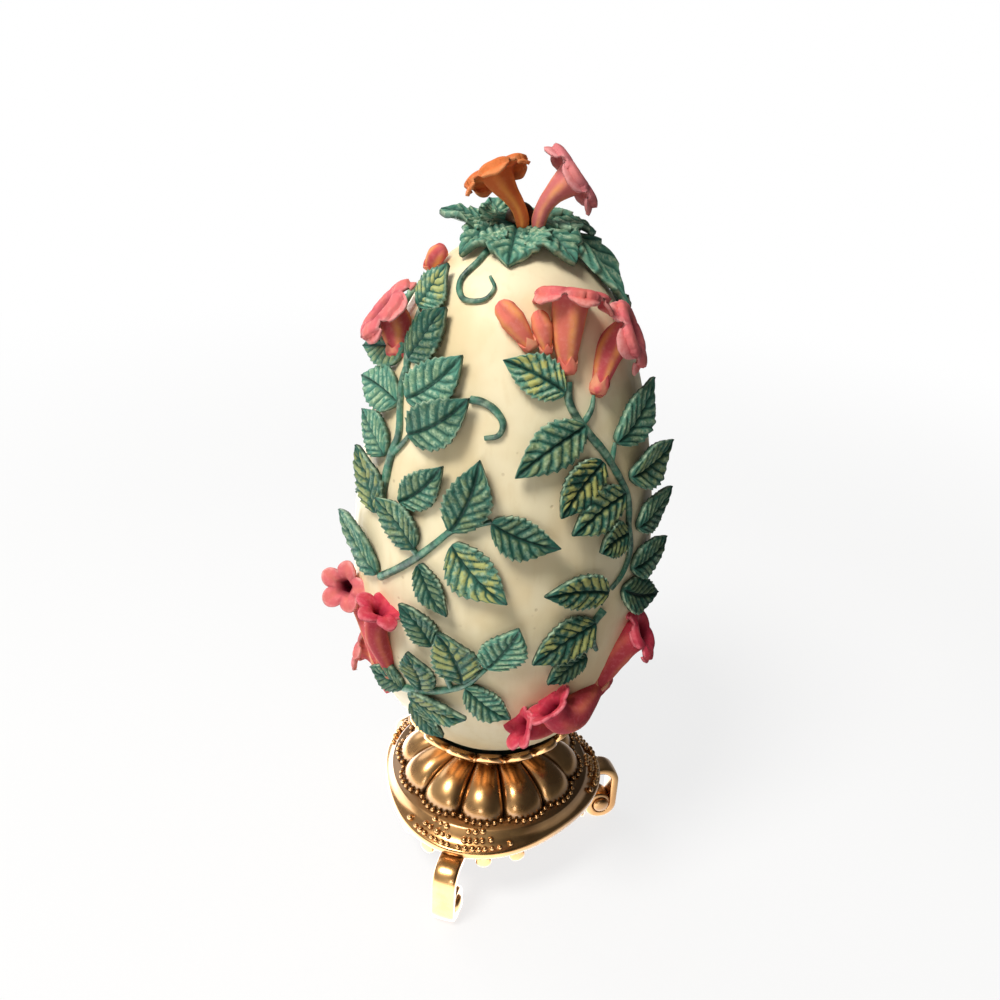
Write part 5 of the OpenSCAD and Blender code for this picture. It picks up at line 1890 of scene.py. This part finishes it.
@dataclass
class Foot:
    """A scroll foot, in mm: a band that drops and rolls in round an eye."""

    name: str
    node: str
    az: float
    top_z: float = 14.75
    reach: float = 31.0
    width: float = 5.0
    band: float = 1.8
    knee: float = 4.5
    toe: float = 3.8
    tongue_in: float = 19.0
    eye: float = 1.9
    coil: float = 400.0
    tighten: float = 1.25

    def toe_centre(self) -> tuple[float, float]:
        """Returns the scroll's middle as radius and height."""
        return self.reach - self.toe, self.toe - 0.15

    def centre_line(self) -> Array:
        """Returns the band's middle line as radius and height in mm."""
        half = self.band / 2
        points = [(self.tongue_in, self.top_z - half), (self.tongue_in + 2.5, self.top_z - half)]
        knee_x, knee_z, bend = self.reach - self.knee, self.top_z - self.knee, self.knee - half
        for a in np.radians(np.linspace(90, 0, 12)):
            points.append((knee_x + bend * math.cos(a), knee_z + bend * math.sin(a)))
        toe_x, toe_z = self.toe_centre()
        points.append((self.reach - half, (knee_z + toe_z) / 2))
        for degrees in np.linspace(0, -self.coil, 44):
            a = math.radians(degrees)
            spiral = (self.toe - half) - self.tighten * smooth(-150, -self.coil, degrees)
            points.append((toe_x + spiral * math.cos(a), toe_z + spiral * math.sin(a)))
        return np.array(points)

    def build(self) -> None:
        """Builds the band and the eye as one piece."""
        line = self.centre_line()
        tangent = np.gradient(line, axis=0)
        tangent /= np.linalg.norm(tangent, axis=1, keepdims=True)
        normal = np.stack([-tangent[:, 1], tangent[:, 0]], 1)
        share = np.linspace(0, 1, len(line))
        thin = self.band / 2 * (1 - 0.45 * smooth(0.62, 1.0, share))
        wide = self.width / 2 * (1 - 0.16 * smooth(0.25, 0.8, share))
        corner = [(-1, -0.55), (-0.93, -0.9), (-0.8, -1), (0, -1.0), (0.8, -1), (0.93, -0.9), (1, -0.55),
                  (1, 0.45), (0.93, 0.8), (0.8, 0.94), (0.4, 1.03), (0, 1.06), (-0.4, 1.03), (-0.8, 0.94),
                  (-0.93, 0.8), (-1, 0.45)]
        rings = []
        for k in range(len(line)):
            rings.append([(a * wide[k], -(line[k, 0] + normal[k, 0] * b * thin[k]),
                           line[k, 1] + normal[k, 1] * b * thin[k]) for a, b in corner])
        rings = np.array(rings)
        rings[..., 2] = np.maximum(rings[..., 2], 0.0)
        ends = [np.array([0, -line[k, 0], line[k, 1]]) for k in (0, -1)]
        # Painted shade, partly antique darkening: darker towards the inside of the scroll.
        hollow = smooth(0.6, 0.9, share)[:, None] * 0.5
        draft = Draft()
        draft.loft(turned(rings * MM, self.az), turned(ends[0] * MM, self.az), turned(ends[1] * MM, self.az),
                   {"hollow": hollow})
        theta = circle(32)
        toe_x, toe_z = self.toe_centre()
        half = self.width / 2
        boss = [(0.25, 0.62), (0.6, 0.5), (0.9, 0.2), (1.0, -0.3), (0.9, -0.7)]
        rows = [(r, -half - x) for r, x in boss] + [(r, half + x) for r, x in reversed(boss)]
        eye = np.stack([np.stack([theta * 0 + x, -(toe_x + self.eye * r * np.cos(theta)),
                                  toe_z + self.eye * r * np.sin(theta)], -1) for r, x in rows])
        tips = [np.array([x, -toe_x, toe_z]) for x in (-half - 0.66, half + 0.66)]
        draft.loft(turned(eye * MM, self.az), turned(tips[0] * MM, self.az), turned(tips[1] * MM, self.az),
                   {"hollow": 0.3})
        obj = draft.to_object(self.name)
        settle_piece(obj, STAND_BODY, (self.node,), GOLD.material())


@dataclass
class Stand:
    """The gilt stand with its felt ring and screws."""

    def build(self) -> None:
        """Builds the stand from the cup down to the feet."""
        ring, beads = RingTree(), BeadTree()
        Cup().build(ring)
        Dome().build(ring)
        Skirt().build(ring, beads)
        for name, az in (("front", -15.0), ("right", 105.0), ("rear", 225.0)):
            Foot("scroll_" + name, "foot_" + name, az).build()
        for node in ("tie_screw", "clamp_washer", "foot_screws"):
            dress_node(node, GOLD)
        dress_node("felt_ring", FELT)


# The studio


@dataclass(frozen=True)
class Studio:
    """Camera at the photograph's angle, pale floor and soft light.

    Places are in metres, angles in radians, the lens in mm and the lamps' power in watts. The camera
    takes half of the lean that the egg has in the photograph as roll.
    """

    camera_y: float = -0.1886
    camera_z: float = 0.1846
    pitch: float = 0.4835
    yaw: float = -0.0045
    roll: float = 0.056
    lens: float = 39.0
    key: float = 4.8
    fill: float = 0.32
    rim: float = 0.7
    sky: float = 0.3
    sky_left: float = 1.6
    sky_right: float = 0.22
    white_from: float = 0.16
    white_to: float = 0.42
    glossy_glow_left: float = 5.0
    glossy_glow_right: float = 0.35
    floor_turn: float = 0.05
    near_share: float = 0.78
    glossy_share: float = 0.85
    diffuse_share: float = 0.45

    def camera(self) -> None:
        """Places the camera."""
        ahead = Vector((math.sin(self.yaw) * math.cos(self.pitch), math.cos(self.yaw) * math.cos(self.pitch),
                        -math.sin(self.pitch)))
        level = Vector((math.cos(self.yaw), -math.sin(self.yaw), 0))
        up = level.cross(ahead)
        right = level * math.cos(self.roll) + up * math.sin(self.roll)
        top = up * math.cos(self.roll) - level * math.sin(self.roll)
        data = bpy.data.cameras.new("photo_camera")
        data.lens = self.lens
        data.sensor_width = 36
        data.clip_start = 0.005
        obj = bpy.data.objects.new("photo_camera", data)
        matrix = Matrix((right, top, -ahead)).transposed().to_4x4()
        matrix.translation = Vector((0, self.camera_y, self.camera_z))
        obj.matrix_world = matrix
        bpy.context.scene.collection.objects.link(obj)
        bpy.context.scene.camera = obj

    def lamp(self, name: str, place: tuple[float, float, float], size: float, power: float,
             colour: tuple[float, float, float] = (1, 1, 1)) -> None:
        """Adds one soft lamp that faces the egg.

        Args:
            name: Name of the lamp.
            place: Its place in metres.
            size: Its width in metres.
            power: Its power in watts.
            colour: Its colour.
        """
        data = bpy.data.lights.new(name, "AREA")
        data.shape = "DISK"
        data.size = size
        data.energy = power
        data.color = colour
        obj = bpy.data.objects.new(name, data)
        obj.location = place
        aim = Vector((0, 0, 0.08)) - Vector(place)
        obj.rotation_euler = aim.to_track_quat("-Z", "Y").to_euler()
        bpy.context.scene.collection.objects.link(obj)

    def floor(self) -> None:
        """Adds the pale floor, which shows white to the camera and keeps the shadow.

        The gilding mirrors a floor that is bright on the left and dim on the right, as in the photograph.
        """
        mesh = bpy.data.meshes.new("studio_floor")
        wide = 3.0
        corners = [(-wide, -wide, 0), (wide, -wide, 0), (wide, wide, 0), (-wide, wide, 0)]
        mesh.from_pydata(corners, [], [(0, 1, 2, 3)])
        obj = new_object("studio_floor", mesh)
        material = bpy.data.materials.new("studio_floor")
        material.use_nodes = True
        tree = material.node_tree
        graph = Graph(tree)
        shader = tree.nodes["Principled BSDF"]
        grain = graph.noise(9, 2)
        colour = graph.blend(grain, linear(236, 236, 236), linear(244, 244, 243))
        graph.feed(shader.inputs["Base Color"], colour)
        shader.inputs["Roughness"].default_value = 0.9
        ray = graph.add("ShaderNodeLightPath")
        spot = graph.add("ShaderNodeSeparateXYZ", {0: graph.place()})
        away = graph.add("ShaderNodeVectorMath", {0: graph.place()}, operation="LENGTH").outputs["Value"]
        # Painted reflection: for glossy rays the floor glows, strongly on the left and faintly on the right,
        # and lights the gilding's reflections.
        left = graph.span(spot.outputs[0], 0.0, self.floor_turn, self.glossy_glow_left, self.glossy_glow_right)
        strength = graph.times(ray.outputs["Is Glossy Ray"], left)
        strength = graph.plus(strength, ray.outputs["Is Camera Ray"])
        glow = graph.add("ShaderNodeEmission", {"Color": (1, 1, 1, 1), "Strength": strength})
        far = graph.span(away, self.white_from, self.white_to, self.near_share, 1.0)
        share = graph.times(ray.outputs["Is Camera Ray"], far)
        share = graph.plus(share, graph.times(ray.outputs["Is Glossy Ray"], self.glossy_share))
        diffuse = graph.times(ray.outputs["Is Diffuse Ray"], self.diffuse_share)
        share = graph.plus(share, diffuse, clamp=True)
        mixed = graph.add("ShaderNodeMixShader", {0: share, 1: shader.outputs[0], 2: glow.outputs[0]})
        tree.links.new(mixed.outputs[0], tree.nodes["Material Output"].inputs["Surface"])
        mesh.materials.append(material)

    def sky_light(self) -> None:
        """Sets a pale world, brighter on the left, that shows white to the camera."""
        world = bpy.data.worlds.new("studio_world")
        world.use_nodes = True
        graph = Graph(world.node_tree)
        back = world.node_tree.nodes["Background"]
        back.inputs["Color"].default_value = (1, 1, 1, 1)
        ray = graph.add("ShaderNodeLightPath")
        way = graph.add("ShaderNodeSeparateXYZ", {0: graph.add("ShaderNodeTexCoord").outputs["Generated"]})
        side = graph.span(way.outputs[0], -0.6, 0.5, self.sky_left, self.sky_right)
        dim = graph.times(side, self.sky)
        strength = graph.math("MAXIMUM", dim, ray.outputs["Is Camera Ray"])
        graph.feed(back.inputs["Strength"], strength)
        bpy.context.scene.world = world

    def build(self) -> None:
        """Builds the studio."""
        self.camera()
        self.floor()
        self.sky_light()
        self.lamp("key_lamp", (-0.27, -0.3, 0.68), size=0.26, power=self.key, colour=(1.0, 0.98, 0.95))
        self.lamp("fill_lamp", (-0.1, -0.6, 0.2), size=0.12, power=self.fill)
        self.lamp("back_lamp", (-0.4, 0.4, 0.4), size=0.4, power=self.rim)
        view = bpy.context.scene.view_settings
        view.view_transform = "Standard"
        LOG.info("studio ready")


def main() -> None:
    """Builds the studio, the egg and the stand in order."""
    logging.basicConfig(level=logging.INFO, format="%(message)s")
    Studio().build()
    Shell().build()
    Relief(VineTree()).build()
    Crown().build()
    Stand().build()


if __name__ == "__main__":
    main()
